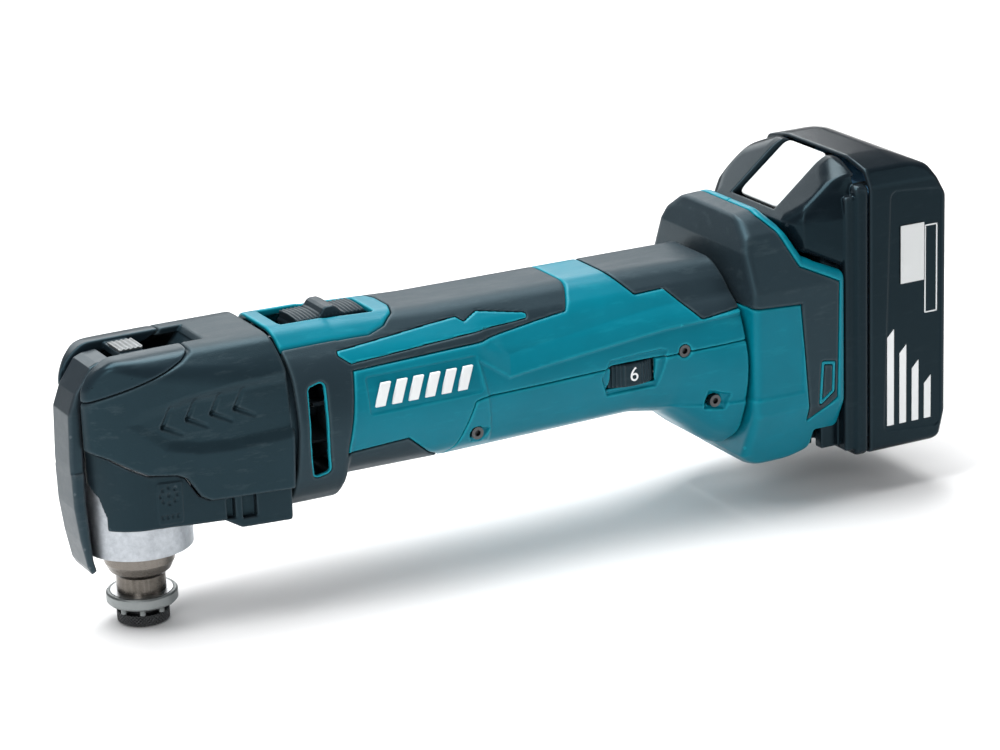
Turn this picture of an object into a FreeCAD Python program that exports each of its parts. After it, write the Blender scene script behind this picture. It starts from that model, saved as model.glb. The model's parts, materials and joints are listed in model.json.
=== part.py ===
"""Cordless oscillating multi-tool.

The frame: the spindle turns on the vertical line X = 0, Y = 0, and Z = 0 is the accessory
seat, the lower face of the spindle's flange. +X runs back to the battery, +Z is up.
All lengths are in millimetres.
"""
import FreeCAD, Part
import math
import os

from FreeCAD import Placement, Rotation, Vector

doc = FreeCAD.newDocument("oscillating_tool")
sheet = doc.addObject("Spreadsheet::Sheet", "sizes")

# ------------------------------------------------------------------ driving dimensions
SIZES = {
    # accessory seat and clamp bolt
    "flange_radius": 12.7,
    "flange_height": 5.2,
    "seat_pin_circle": 18.4,
    "seat_pin_radius": 1.1,
    "seat_pin_length": 1.6,
    "knurl_radius": 9.4,
    "knurl_height": 4.2,
    "clamp_shaft_radius": 4.0,
    "running_clearance": 0.06,
    # spindle and its bearings
    "neck_radius": 8.8,
    "collar_radius": 12.6,
    "spindle_shaft_radius": 8.0,
    "spindle_top_radius": 6.0,
    "spindle_top": 78.6,
    # head
    "barrel_radius": 19.5,
    "barrel_bottom": 22.5,
    "barrel_top": 77.6,
    "head_front": -22.5,
    "head_top": 96.2,
    "head_back": 50.0,
    "slot_half_width": 9.4,
    "lever_half_width": 8.7,
    "lever_pivot_x": -12.0,
    "lever_pivot_z": 86.6,
    # grip
    "motor_axis_z": 64.0,
    "eccentric_offset": 0.8,
    "eccentric_bearing_radius": 9.5,
    "fork_clearance": 2.1,
    "grip_front": 50.8,
    "grip_back": 231.4,
    "wall": 2.6,
    "skin": 1.2,
    "seam_height": 61.7,
    "yoke_radius": 23.6,
    # controls
    "dial_radius": 15.0,
    "dial_centre_x": 184.5,
    "dial_centre_y": -16.2,
    "dial_bottom": 52.4,
    "dial_height": 11.2,
    "knob_travel": 6.5,
    # rear housing and battery
    "rear_half_width": 37.5,
    "rear_back": 272.4,
    "battery_half_width": 37.5,
    "battery_seam_x": 283.0,
    "battery_back": 317.5,
    "battery_bottom": 9.5,
    "battery_top": 124.3,
    "cell_radius": 9.0,
    "cell_length": 65.0,
    # screws
    "screw_radius": 1.4,
    "screw_head_radius": 2.3,
}

for row, (alias, number) in enumerate(SIZES.items(), start=1):
    sheet.set(f"A{row}", alias)
    sheet.set(f"B{row}", str(number))
    sheet.setAlias(f"B{row}", alias)
doc.recompute()


def size(alias):
    """The sheet's value as a plain number, for outlines and lofts."""
    return float(sheet.get(alias))


SUBPARTS = []


# ------------------------------------------------------------------ parametric building blocks
TURN_TO = {
    "X": Rotation(Vector(0, 1, 0), 90),
    "Y": Rotation(Vector(1, 0, 0), -90),
    "Z": Rotation(),
}


def keep(obj, label):
    """Names a finished sub-part, which is written to a file of that name."""
    obj.Label = label
    SUBPARTS.append(obj)
    return obj


def settle(obj, at, axis="Z"):
    """Places an object by three formulas, with its own Z axis turned to the named axis."""
    obj.Placement = Placement(Vector(0, 0, 0), TURN_TO[axis])
    for coordinate, formula in zip("xyz", at):
        obj.setExpression(f"Placement.Base.{coordinate}", str(formula))
    return obj


def rod(radius, length, at, axis="Z"):
    """A round bar from at, along +axis. Sizes are formulas."""
    obj = doc.addObject("Part::Cylinder", "rod")
    obj.setExpression("Radius", str(radius))
    obj.setExpression("Height", str(length))
    return settle(obj, at, axis)


def block(length, width, height, at):
    """A box whose lowest corner is at at."""
    obj = doc.addObject("Part::Box", "block")
    obj.setExpression("Length", str(length))
    obj.setExpression("Width", str(width))
    obj.setExpression("Height", str(height))
    return settle(obj, at)


def centred_block(length, width, height, at):
    """A box centred on at in Y only."""
    return block(length, width, height, (at[0], f"({at[1]}) - ({width}) / 2", at[2]))


def fused(*parts):
    obj = doc.addObject("Part::MultiFuse", "fused")
    obj.Shapes = list(parts)
    return obj


def group(*parts):
    """Separate solids kept in one node, such as a set of screws."""
    obj = doc.addObject("Part::Compound", "group")
    obj.Links = list(parts)
    return obj


def cut(base, *tools):
    obj = doc.addObject("Part::Cut", "cut")
    obj.Base = base
    obj.Tool = tools[0] if len(tools) == 1 else fused(*tools)
    return obj


def ring(outer, inner, length, at, axis="Z"):
    return cut(rod(outer, length, at, axis), rod(inner, length, at, axis))


def origin_plane(body, role):
    for feature in body.Origin.OriginFeatures:
        if feature.Role == role:
            return feature
    raise ValueError(role)


def sketch_on(body, role, points, offset=0.0):
    """A closed sketch of straight lines on one of the body's origin planes."""
    sketch = body.newObject("Sketcher::SketchObject", "outline")
    sketch.AttachmentSupport = [(origin_plane(body, role), "")]
    sketch.MapMode = "FlatFace"
    sketch.AttachmentOffset = Placement(Vector(0, 0, offset), Rotation())
    for first, second in zip(points, points[1:] + points[:1]):
        sketch.addGeometry(Part.LineSegment(Vector(*first, 0), Vector(*second, 0)), False)
    return sketch


def revolved(profile, at=("0", "0", "0"), axis="Z"):
    """A turned piece: profile holds (radius, height) points, revolved about the height axis."""
    body = doc.addObject("PartDesign::Body", "turned")
    sketch = sketch_on(body, "XZ_Plane", profile)
    turn = body.newObject("PartDesign::Revolution", "revolution")
    turn.Profile = sketch
    turn.ReferenceAxis = (sketch, ["V_Axis"])
    turn.Angle = 360
    sketch.Visibility = False
    return settle(body, at, axis)


def padded(role, points, length, offset=0.0, midplane=False):
    """A body padded from an outline on an origin plane. Length is a formula."""
    body = doc.addObject("PartDesign::Body", "padded")
    sketch = sketch_on(body, role, points, offset)
    pad = body.newObject("PartDesign::Pad", "pad")
    pad.Profile = sketch
    pad.setExpression("Length", str(length))
    pad.Midplane = midplane
    return body


def side_plate(points, width):
    """A plate with an outline in X and Z, centred on Y = 0."""
    return padded("XZ_Plane", points, width, midplane=True)


def shape_part(shape, label):
    """A sub-part whose double-curved shape Part's own functions make."""
    obj = doc.addObject("Part::Feature", label)
    obj.Shape = shape
    obj.Placement = Placement()
    return keep(obj, label)


# ------------------------------------------------------------------ outlines and lofts
def rounded_wire(corners, to_space):
    """A closed wire of lines and arcs from (u, v, radius) corners."""
    count = len(corners)
    edges = []
    starts = []
    ends = []
    arcs = []
    for i in range(count):
        before = Vector(*corners[i - 1][:2], 0)
        here = Vector(*corners[i][:2], 0)
        after = Vector(*corners[(i + 1) % count][:2], 0)
        radius = corners[i][2]
        to_before = (before - here).normalize()
        to_after = (after - here).normalize()
        half_turn = (math.pi - to_before.getAngle(to_after)) / 2
        if radius <= 0 or half_turn < 1e-3:
            starts.append(here)
            ends.append(here)
            arcs.append(None)
            continue
        reach = radius * math.tan(half_turn)
        start = here + to_before * reach
        end = here + to_after * reach
        bisector = (to_before + to_after).normalize()
        middle = here + bisector * (radius / math.cos(half_turn) - radius)
        starts.append(start)
        ends.append(end)
        arcs.append((start, middle, end))
    for i in range(count):
        if arcs[i]:
            edges.append(Part.Arc(*[to_space(p) for p in arcs[i]]).toShape())
        next_start = starts[(i + 1) % count]
        if (next_start - ends[i]).Length > 1e-6:
            line = Part.LineSegment(to_space(ends[i]), to_space(next_start))
            edges.append(line.toShape())
    return Part.Wire(edges)


def side_prism(corners, half_width=80.0):
    """An outline in X and Z, carried right across the tool in Y."""
    wire = rounded_wire(corners, lambda p: Vector(p.x, -half_width, p.y))
    return Part.Face(wire).extrude(Vector(0, 2 * half_width, 0))


def plan_prism(corners, low, high):
    """An outline in X and Y, carried up from low to high."""
    wire = rounded_wire(corners, lambda p: Vector(p.x, p.y, low))
    return Part.Face(wire).extrude(Vector(0, 0, high - low))


def front_prism(corners, back, front):
    """An outline in Y and Z, carried from X = back to X = front."""
    wire = rounded_wire(corners, lambda p: Vector(back, p.x, p.y))
    return Part.Face(wire).extrude(Vector(front - back, 0, 0))


def mirrored_corners(corners):
    """Corners listed down one side, followed by their mirror images going back up."""
    return corners + [(-u, v, radius) for u, v, radius in reversed(corners)]


def plan_mirrored(corners):
    return corners + [(u, -v, radius) for u, v, radius in reversed(corners)]


def cylinder(radius, low, high, centre=(0.0, 0.0)):
    return Part.makeCylinder(radius, high - low, Vector(centre[0], centre[1], low))


def bar(radius, back, front, centre_z, centre_y=0.0):
    start = Vector(back, centre_y, centre_z)
    return Part.makeCylinder(radius, front - back, start, Vector(1, 0, 0))


def cuboid(low, high):
    return Part.makeBox(high[0] - low[0], high[1] - low[1], high[2] - low[2], Vector(*low))


# ------------------------------------------------------------------ the grip's cross-section
def grip_corners(top, bottom, half_width):
    """A faceted tube: flat crown, sloping shoulders, upright sides, sloping chines, flat keel."""
    height = top - bottom
    return mirrored_corners([
        (0.40 * half_width, top, 9.0),
        (0.86 * half_width, top - 0.20 * height, 12.0),
        (half_width, top - 0.42 * height, 9.0),
        (half_width, top - 0.62 * height, 9.0),
        (0.80 * half_width, bottom + 0.13 * height, 7.0),
        (0.42 * half_width, bottom, 9.0),
    ])


# X, top, bottom and half-width of the grip, measured on the outer face
GRIP_STATIONS = [
    (40.0, 95.6, 36.5, 30.6),
    (76.0, 95.0, 36.3, 31.2),
    (110.0, 93.2, 36.0, 31.6),
    (150.0, 92.9, 36.6, 31.8),
    (190.0, 92.6, 37.4, 32.4),
    (205.0, 92.4, 35.0, 33.2),
    (214.0, 92.2, 28.0, 34.2),
    (223.0, 92.0, 20.6, 35.4),
    (236.0, 91.8, 15.0, 36.4),
]


def grip_solid(inset):
    """The grip's outer form, or that form drawn in by inset all round."""
    wires = []
    for x, top, bottom, half_width in GRIP_STATIONS:
        corners = grip_corners(top - inset, bottom + inset, half_width - inset)
        wires.append(rounded_wire(corners, lambda p, x=x: Vector(x, p.x, p.y)))
    return Part.makeLoft(wires, True, False)


def nose_ring_solid(inset):
    """The deeper ring at the grip's front, which carries the cooling slots."""
    wires = []
    for x, bottom in ((40.0, 28.6), (69.0, 28.9)):
        corners = grip_corners(95.6 - inset, bottom + inset, 30.9 - inset)
        wires.append(rounded_wire(corners, lambda p, x=x: Vector(x, p.x, p.y)))
    tapered = grip_corners(95.0 - inset, 35.8 + inset, 31.1 - inset)
    wires.append(rounded_wire(tapered, lambda p: Vector(75.0, p.x, p.y)))
    return Part.makeLoft(wires, True, True)


wall = size("wall")
skin = size("skin")
seam = size("seam_height")
grip_outer = grip_solid(0.0).fuse(nose_ring_solid(0.0))
grip_under_skin = grip_solid(skin).fuse(nose_ring_solid(skin))
grip_inner = grip_solid(wall).fuse(nose_ring_solid(wall))

front = size("grip_front")
back = size("grip_back")
GAP = 0.25

# the grip's ends bulge slightly: the front edge back at the crown, the rear edge at mid height
grip_zone = side_prism([
    (front - 5.0, 104.0, 0), (front - 0.6, 80.0, 30.0), (front, 62.0, 30.0), (front - 1.0, 20.0, 0),
    (back - 2.5, 5.0, 0), (back, 45.0, 40.0), (back, 72.0, 40.0), (back - 5.0, 104.0, 0),
])

# side-view outline of the lower cover: it starts behind the name panel and ends at the rear gap
lower_zone_corners = [
    (110.0, 20.0, 0), (111.3, 36.0, 0), (113.4, 40.0, 3.0), (119.5, seam - 1.2, 3.0),
    (123.0, seam - 0.4, 3.0),
    (250.0, seam + 2.8, 0), (250.0, 5.0, 0), (110.0, 5.0, 0),
]
lower_zone = side_prism(lower_zone_corners)

# soft skins moulded over the grip, as side-view outlines
front_skin_zone = side_prism([
    (40.0, 110.0, 0), (165.2, 110.0, 0), (166.3, 91.7, 4.0), (161.5, 84.5, 2.0), (125.0, 80.5, 4.0),
    (73.5, 79.5, 3.0), (68.6, 41.5, 2.0), (91.0, 44.2, 3.0), (108.0, 35.0, 0), (108.0, 15.0, 0),
    (40.0, 15.0, 0),
])
rear_skin_zone = side_prism([
    (183.0, 110.0, 0), (184.4, 92.3, 4.0), (190.7, 85.4, 1.5), (202.9, 85.7, 2.0), (214.0, 74.2, 1.5),
    (240.0, 77.0, 0), (240.0, 110.0, 0),
])
switch_zone = plan_prism(plan_mirrored([(30.0, 19.5, 0), (86.0, 18.5, 6.0), (98.5, 11.0, 9.0)]), 86.0, 120.0)

grip_shell = grip_outer.cut(grip_inner).common(grip_zone)
skin_layer = grip_outer.cut(grip_under_skin).common(grip_zone)
outside_lower = grip_shell.cut(lower_zone)


def slot_pair(corners, low, high):
    """Matching side openings on both sides, between low and high distances from mid-plane."""
    wire = rounded_wire(corners, lambda p: Vector(p.x, low, p.y))
    one = Part.Face(wire).extrude(Vector(0, high - low, 0))
    other = one.mirror(Vector(0, 0, 0), Vector(0, 1, 0))
    return one.fuse(other)


vent_slots = slot_pair([
    (55.8, 76.4, 1.5), (61.6, 77.8, 1.5), (61.3, 60.0, 8.0), (63.2, 44.2, 1.5), (57.6, 43.0, 1.5),
    (55.3, 60.0, 8.0),
], 20.0, 45.0)
knob_window = cuboid((54.0, -9.7, 80.0), (91.0, 9.7, 110.0))
dial_window = cuboid((173.4, -45.0, 51.0), (195.6, -20.0, 65.0))

# narrow drip gaps keep every skin clear of its neighbours
switch_plate_shape = skin_layer.common(switch_zone).cut(knob_window)
covered_zone = front_skin_zone.fuse(rear_skin_zone).fuse(switch_zone)
motor_housing_shape = outside_lower.cut(skin_layer.common(covered_zone))
motor_housing_shape = motor_housing_shape.cut(vent_slots).cut(knob_window)
motor_housing_shape = motor_housing_shape.cut(dial_window)
front_skin_shape = skin_layer.common(front_skin_zone).cut(switch_zone).cut(vent_slots)
rear_skin_shape = skin_layer.common(rear_skin_zone)
lower_cover_shape = grip_shell.common(lower_zone).cut(dial_window)

inlay_zone = slot_pair([
    (67.9, 86.0, 0.5), (73.2, 81.9, 0.5), (140.5, 84.4, 1.0), (146.6, 85.6, 0.4), (127.6, 89.2, 1.0),
    (121.3, 87.0, 1.0), (119.0, 88.7, 1.0),
], 15.0, 45.0)
inlay_layer = grip_outer.cut(grip_solid(0.6)).common(inlay_zone)
front_skin_shape = front_skin_shape.cut(inlay_layer)


def clean(shape, least=5.0):
    """All solids larger than a sliver."""
    solids = [solid for solid in shape.Solids if solid.Volume > least]
    return solids[0] if len(solids) == 1 else Part.makeCompound(solids)


HEAD_HEIGHT = 2.2


def screw_boss(x, z, face, radius, low, high):
    """Matching round bosses or holes on both sides: low and high are depths below the face."""
    one = Part.makeCylinder(radius, high - low, Vector(x, face - high, z), Vector(0, 1, 0))
    return one.fuse(one.mirror(Vector(0, 0, 0), Vector(0, 1, 0)))


def with_screw(shell, x, z, face, deep):
    """The shell with a boss on its inside, a shank hole and a counterbore for the head."""
    boss = screw_boss(x, z, face, 5.2, 0.4, deep).common(grip_outer)
    shank_hole = screw_boss(x, z, face, size("screw_radius") + 0.1, -10.0, deep + 1.0)
    counterbore = screw_boss(x, z, face, size("screw_head_radius") + 0.25, -10.0, HEAD_HEIGHT)
    return shell.fuse(boss).cut(shank_hole).cut(counterbore)


motor_housing_shape = with_screw(motor_housing_shape, 205.5, 63.9, 31.6, 6.0)
lower_cover_shape = lower_cover_shape.cut(screw_boss(205.5, 63.9, 31.6, 5.4, -10.0, 8.0))
lower_cover_shape = with_screw(lower_cover_shape, 121.4, 47.2, 27.4, 4.6)
lower_cover_shape = with_screw(lower_cover_shape, 218.6, 42.0, 31.0, 6.0)

shape_part(clean(motor_housing_shape), "motor_housing")
shape_part(clean(lower_cover_shape), "lower_cover")
shape_part(clean(front_skin_shape), "front_grip_skin")
shape_part(clean(rear_skin_shape), "rear_grip_skin")
shape_part(clean(switch_plate_shape), "switch_plate")
shape_part(clean(inlay_layer), "grip_inlays")

# ------------------------------------------------------------------ head covers
head_front = size("head_front")
head_top = size("head_top")
head_back = size("head_back")
slot_half = size("slot_half_width")


def head_plan(inset):
    return plan_mirrored([
        (head_front + inset, 12.4 - 0.6 * inset, 3.0),
        (-6.0 + 0.4 * inset, 21.4 - inset, 14.0),
        (60.0, 31.4 - inset, 0),
    ])


def head_block(inset):
    """The head's outer form: tapered plan, rounded crown, sloping nose."""
    plan = plan_prism(head_plan(inset), 30.0, 110.0)
    side = side_prism([
        (head_front + inset, 50.0, 0), (head_front + inset, 84.5 - 0.6 * inset, 4.0),
        (-17.4 + 0.6 * inset, 91.6 - 0.6 * inset, 4.0), (-11.0 + 0.3 * inset, head_top - 0.4 - inset, 5.0),
        (0.0, head_top + 0.2 - inset, 60.0), (60.0, head_top - 0.6 - inset, 0),
        (60.0, 30.0, 0), (head_front + inset, 30.0, 0),
    ])
    crown_corners = mirrored_corners([
        (16.5 - inset, head_top + 0.6 - inset, 7.0), (27.5 - inset, 86.0 - 0.5 * inset, 10.0),
        (31.4 - inset, 66.0, 20.0), (30.6 - inset, 20.0, 0),
    ])
    crown = front_prism(crown_corners, -40.0, 60.0)
    return plan.common(side).common(crown)


head_outer = head_block(0.0)
head_inner = head_block(wall)
head_gap = side_prism([
    (head_back - 5.6, 110.0, 0), (head_back - 1.0, 80.0, 30.0), (head_back - 0.2, 62.0, 30.0),
    (head_back - 1.2, 15.0, 0), (-60.0, 15.0, 0), (-60.0, 110.0, 0),
])
cover_zone = side_prism([
    (-40.0, 64.5, 0), (-20.0, 63.0, 6.0), (-10.0, 57.6, 12.0), (-2.5, 53.4, 12.0), (8.5, 52.4, 8.0),
    (15.5, 42.6, 6.0), (30.0, 41.4, 20.0), (60.0, 41.6, 0), (60.0, 120.0, 0), (-40.0, 120.0, 0),
])
guard_zone = side_prism([
    (-40.0, 75.0, 0), (-23.0, 80.4, 4.0), (14.0, 92.6, 2.0), (17.6, 95.4, 1.0), (14.0, 120.0, 0),
    (-40.0, 120.0, 0),
])
lever_channel = cuboid((-60.0, -slot_half, 0.0), (-19.7, slot_half, 120.0))
top_channel = side_prism([
    (-60.0, 78.4, 0), (5.2, 78.4, 0), (8.0, 87.2, 1.0), (18.6, 87.6, 1.5), (26.8, 97.2, 0),
    (26.8, 130.0, 0), (-60.0, 130.0, 0),
], slot_half)

head_shell = head_outer.cut(head_inner).common(head_gap)
channel_walls = side_prism([
    (-30.0, 78.4, 0), (7.6, 78.4, 0), (9.6, 87.3 - wall, 0), (19.8, 87.6 - wall, 0), (30.0, 99.6, 0),
    (-30.0, 99.6, 0),
], slot_half + wall - 0.4)
head_cover_shape = head_shell.fuse(channel_walls.common(head_inner)).common(cover_zone)
head_cover_shape = head_cover_shape.cut(top_channel).cut(lever_channel).cut(guard_zone)

guard_core = head_outer.cut(head_block(4.2)).common(guard_zone)
barrel = size("barrel_radius")
barrel_low = size("barrel_bottom")
barrel_high = size("barrel_top")
axis_z = size("motor_axis_z")
CASTING_GAP = 0.15
SNOUT_RADIUS = 20.6
SNOUT_START = 9.0
casting_room = cylinder(barrel + CASTING_GAP, 10.0, barrel_high + CASTING_GAP)
casting_room = casting_room.fuse(cylinder(size("spindle_top_radius") + 0.7, 70.0, 82.0))
casting_room = casting_room.fuse(bar(SNOUT_RADIUS + CASTING_GAP, SNOUT_START - CASTING_GAP, 60.0, axis_z))
guard_inside = guard_core.cut(top_channel).cut(lever_channel)
pin_hole = Part.makeCylinder(
    1.6, 26.4, Vector(size("lever_pivot_x"), -13.2, size("lever_pivot_z")), Vector(0, 1, 0)
)
cheek_pads = cuboid((-19.4, -22.0, 80.6), (-5.0, 22.0, 93.6)).common(head_outer).cut(
    cuboid((-30.0, -slot_half, 70.0), (10.0, slot_half, 110.0)))
plate_bridge = cuboid((-4.4, -slot_half - 2.0, 91.6), (4.6, slot_half + 2.0, 94.4))
guard_shape = guard_inside.fuse(cheek_pads.common(guard_zone)).fuse(plate_bridge)
guard_shape = guard_shape.cut(pin_hole).cut(casting_room)
head_cover_shape = head_cover_shape.cut(plate_bridge)
head_cover_shape = head_cover_shape.cut(pin_hole).cut(casting_room)

COVER_RADIUS = 21.0
lower_plan = cylinder(COVER_RADIUS, 20.0, 66.0).fuse(
    plan_prism(plan_mirrored([(-1.5, COVER_RADIUS - 0.1, 0), (60.0, 27.6, 0)]), 20.0, 66.0))
lower_plan_inner = cylinder(barrel + CASTING_GAP, 10.0, 70.0).fuse(
    plan_prism(plan_mirrored([(-1.0, barrel + 0.1, 0), (60.0, 25.4, 0)]), 10.0, 70.0))
lower_side = side_prism([
    (-40.0, 33.6, 0), (4.0, 33.4, 3.0), (14.0, 32.9, 3.0), (24.0, 32.6, 3.0), (30.0, 29.0, 3.0),
    (60.0, 28.7, 0), (60.0, 64.0, 0), (-40.0, 64.0, 0),
])
lower_keel = side_prism([(23.0, 26.0, 0), (60.0, 26.0, 0), (60.0, 31.0, 0), (23.0, 34.6, 0)])
nose_arch = front_prism(mirrored_corners([(3.0, 51.0, 2.5), (11.8, 40.0, 6.0), (12.4, 25.0, 0)]), -40.0, -5.0)
lower_head_shape = lower_plan.cut(lower_plan_inner).common(lower_side)
lower_floor = lower_plan.common(lower_side).common(lower_keel)
lower_head_shape = lower_head_shape.fuse(lower_floor).common(head_gap).cut(nose_arch)
light_hole = cuboid((31.0, -7.0, 20.0), (41.0, 7.0, 40.0))
lower_head_shape = lower_head_shape.cut(light_hole).cut(lever_channel)
lower_head_shape = lower_head_shape.cut(head_shell.common(cover_zone)).cut(casting_room)

shape_part(clean(head_cover_shape), "head_cover")
shape_part(clean(guard_shape), "lever_guard")
shape_part(clean(lower_head_shape), "lower_head_cover")

# ------------------------------------------------------------------ gear housing
casting = cylinder(barrel, barrel_low, barrel_high)
casting = casting.fuse(bar(SNOUT_RADIUS, SNOUT_START, 46.0, axis_z))
fork_room = cylinder(16.4, 34.0, barrel_high - 7.4).fuse(bar(18.4, 13.0, 46.5, axis_z))
fork_room = fork_room.fuse(cuboid((0.0, -16.8, axis_z - 7.6), (14.0, 16.8, axis_z + 7.6)))
casting = casting.cut(fork_room)
casting = casting.cut(cylinder(15.0, barrel_low + 2.0, 34.5))
casting = casting.cut(cylinder(size("collar_radius") + 0.5, barrel_low - 1.0, barrel_low + 3.0))
casting = casting.cut(cylinder(11.0, barrel_high - 8.0, barrel_high - 0.8))
casting = casting.cut(cylinder(size("spindle_top_radius") + 0.8, barrel_high - 2.0, barrel_high + 1.0))
shape_part(clean(casting), "gear_housing")


# ------------------------------------------------------------------ spindle group
def spindle_profile():
    bore = size("clamp_shaft_radius") + size("running_clearance")
    neck = size("neck_radius")
    collar = size("collar_radius")
    shaft = size("spindle_shaft_radius")
    top = size("spindle_top_radius")
    bearing_step = size("barrel_top") - 8.0
    return [
        (bore, 0.4), (7.2, 0.4), (7.2, 5.0), (neck, 5.0), (neck, 11.4), (11.1, 13.4), (collar, 16.6),
        (collar, 24.0), (shaft, 24.0), (shaft, bearing_step), (top, bearing_step), (top, size("spindle_top")),
        (bore, size("spindle_top")),
    ]


def flange_profile():
    outer = size("flange_radius")
    top = size("flange_height")
    return [
        (7.2, 0.0), (9.9, 0.0), (10.9, 0.5), (10.9, 0.8), (12.2, 1.0), (outer, 1.6), (outer, top - 0.6),
        (outer - 0.5, top), (11.3, top), (11.3, top - 0.9), (7.2, top - 0.9),
    ]


keep(revolved(spindle_profile()), "spindle")
seat_pins = []
for number in range(8):
    turn = f"{number} * 45 + 22.5"
    pin_x = f"sizes.seat_pin_circle / 2 * cos({turn})"
    pin_y = f"sizes.seat_pin_circle / 2 * sin({turn})"
    seat_pins.append(rod("sizes.seat_pin_radius", "sizes.seat_pin_length + 0.5",
                         (pin_x, pin_y, "-sizes.seat_pin_length")))
keep(fused(revolved(flange_profile()), *seat_pins), "tool_flange")
keep(ring("11.1", "sizes.neck_radius + 0.02", "1.0", ("0", "0", "sizes.flange_height - 0.9")), "flange_ring")

fork_inner = "sizes.eccentric_bearing_radius + sizes.fork_clearance"
fork_arms = []
for side_sign in (1, -1):
    arm_low = f"{side_sign} * ({fork_inner} + 1.7) - 1.7"
    fork_arms.append(block("31.5", "3.4", "11.8", ("6", arm_low, "sizes.motor_axis_z - 6.5")))
fork_bridge = centred_block("6", f"2 * ({fork_inner}) + 6.8", "11.8", ("6", "0", "sizes.motor_axis_z - 6.5"))
fork_hub = rod("13", "12.8", ("0", "0", "sizes.motor_axis_z - 7.5"))
fork_bore = rod("sizes.spindle_shaft_radius", "20", ("0", "0", "sizes.motor_axis_z - 10"))
keep(cut(fused(fork_hub, fork_bridge, *fork_arms), fork_bore), "swing_fork")

clamp = size("clamp_shaft_radius")
knurl = size("knurl_radius")
head_high = -2.0
head_low = head_high - size("knurl_height")
clamp_profile = [
    (0.0, head_low), (7.6, head_low), (knurl, head_low + 1.1), (knurl, head_high), (7.4, head_high),
    (6.9, head_high + 1.0), (6.9, -0.3), (clamp, -0.3), (clamp, 76.6), (clamp - 0.8, 77.2),
    (clamp - 0.8, 78.6), (clamp - 0.2, 79.0), (clamp - 0.2, 80.0), (clamp - 0.8, 80.6), (0.0, 80.6),
]
hex_key = doc.addObject("Part::Prism", "hex_key")
hex_key.Polygon = 6
hex_key.Circumradius = 2.9
hex_key.Height = 3.2
settle(hex_key, ("0", "0", str(head_low)))
keep(cut(revolved(clamp_profile), hex_key), "clamp_bolt")

# ------------------------------------------------------------------ fixed pieces in the head
keep(ring("15", "sizes.spindle_shaft_radius + sizes.running_clearance", "9", ("0", "0", "24.9")),
     "spindle_lower_bearing")
keep(ring("11", "sizes.spindle_top_radius + sizes.running_clearance", "6.6",
          ("0", "0", "sizes.barrel_top - 7.6")),
     "spindle_upper_bearing")

# ------------------------------------------------------------------ lever and release rod
lever_points = [
    (-25.4, 74.0), (-25.9, 58.0), (-25.6, 42.0), (-24.2, 30.0), (-22.2, 19.5), (-20.8, 17.0),
    (-18.8, 18.2), (-19.9, 22.0), (-20.5, 30.0), (-21.2, 44.0), (-20.6, 62.0), (-20.3, 78.0),
    (-18.0, 79.2), (-15.2, 80.0), (-12.0, 79.6), (-7.4, 81.4), (-4.8, 85.6), (-5.4, 90.4), (-8.4, 93.6),
    (-13.4, 93.2), (-16.4, 92.0), (-22.6, 83.6), (-24.8, 78.2),
]
lever_hole = rod("1.6", "40", ("sizes.lever_pivot_x", "-20", "sizes.lever_pivot_z"), "Y")
keep(cut(side_plate(lever_points, "2 * sizes.lever_half_width"), lever_hole), "clamp_lever")
keep(rod("1.54", "26", ("sizes.lever_pivot_x", "-13", "sizes.lever_pivot_z"), "Y"), "lever_pin")
keep(fused(rod("2.6", "4.4", ("0", "0", "82.2")), rod("2.0", "3.2", ("0", "0", "86.4"))), "release_rod")
keep(ring("5.4", "4.3", "1.6", ("0", "0", "sizes.spindle_top + 0.3")), "shaft_retainer")
keep(centred_block("9", "11", "1.2", ("-4.4", "0", "94.45")), "lever_stop")

# ------------------------------------------------------------------ motor
keep(revolved([
    (0.0, 24.6), (3.6, 24.6), (3.6, 37.2), (5.0, 37.2), (5.0, 56.4), (4.0, 56.4), (4.0, 137.0), (3.0, 137.0),
    (3.0, 147.0), (0.0, 147.0),
], ("0", "0", "sizes.motor_axis_z"), "X"), "motor_shaft")
journal_at = ("25.2", "0", "sizes.motor_axis_z + sizes.eccentric_offset")
keep(cut(rod("5.0", "10.2", journal_at, "X"), rod("3.6", "40", ("20", "0", "sizes.motor_axis_z"), "X")),
     "eccentric_sleeve")
keep(ring("sizes.eccentric_bearing_radius", "5.0", "9.0",
          ("25.8", "0", "sizes.motor_axis_z + sizes.eccentric_offset"), "X"), "eccentric_bearing")
weight_blank = cut(rod("12", "5.6", ("39.0", "0", "sizes.motor_axis_z"), "X"),
                   block("8", "30", "20", ("38", "-15", "sizes.motor_axis_z + 5.4")))
keep(cut(weight_blank, rod("5.0", "10", ("37", "0", "sizes.motor_axis_z"), "X")), "balance_weight")


def radial_block(length, width, height, start_x, reach, turn):
    """A block that stands out from the motor axis, its foot at reach from the axis."""
    obj = doc.addObject("Part::Box", "radial_block")
    obj.setExpression("Length", str(length))
    obj.setExpression("Width", str(width))
    obj.setExpression("Height", str(height))
    foot = Placement(Vector(0, -float(width) / 2, reach), Rotation())
    obj.Placement = Placement(Vector(start_x, 0, axis_z), Rotation(Vector(1, 0, 0), turn)).multiply(foot)
    return obj


blades = [radial_block("6.4", "1.3", "11.4", 60.4, 10.2, number * 40.0) for number in range(9)]
fan_disc = rod("22.5", "1.6", ("66.4", "0", "sizes.motor_axis_z"), "X")
fan_hub = rod("10.6", "7.6", ("60.4", "0", "sizes.motor_axis_z"), "X")
fan_bore = rod("4.0", "20", ("55", "0", "sizes.motor_axis_z"), "X")
keep(cut(fused(fan_disc, fan_hub, *blades), fan_bore), "cooling_fan")

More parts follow.
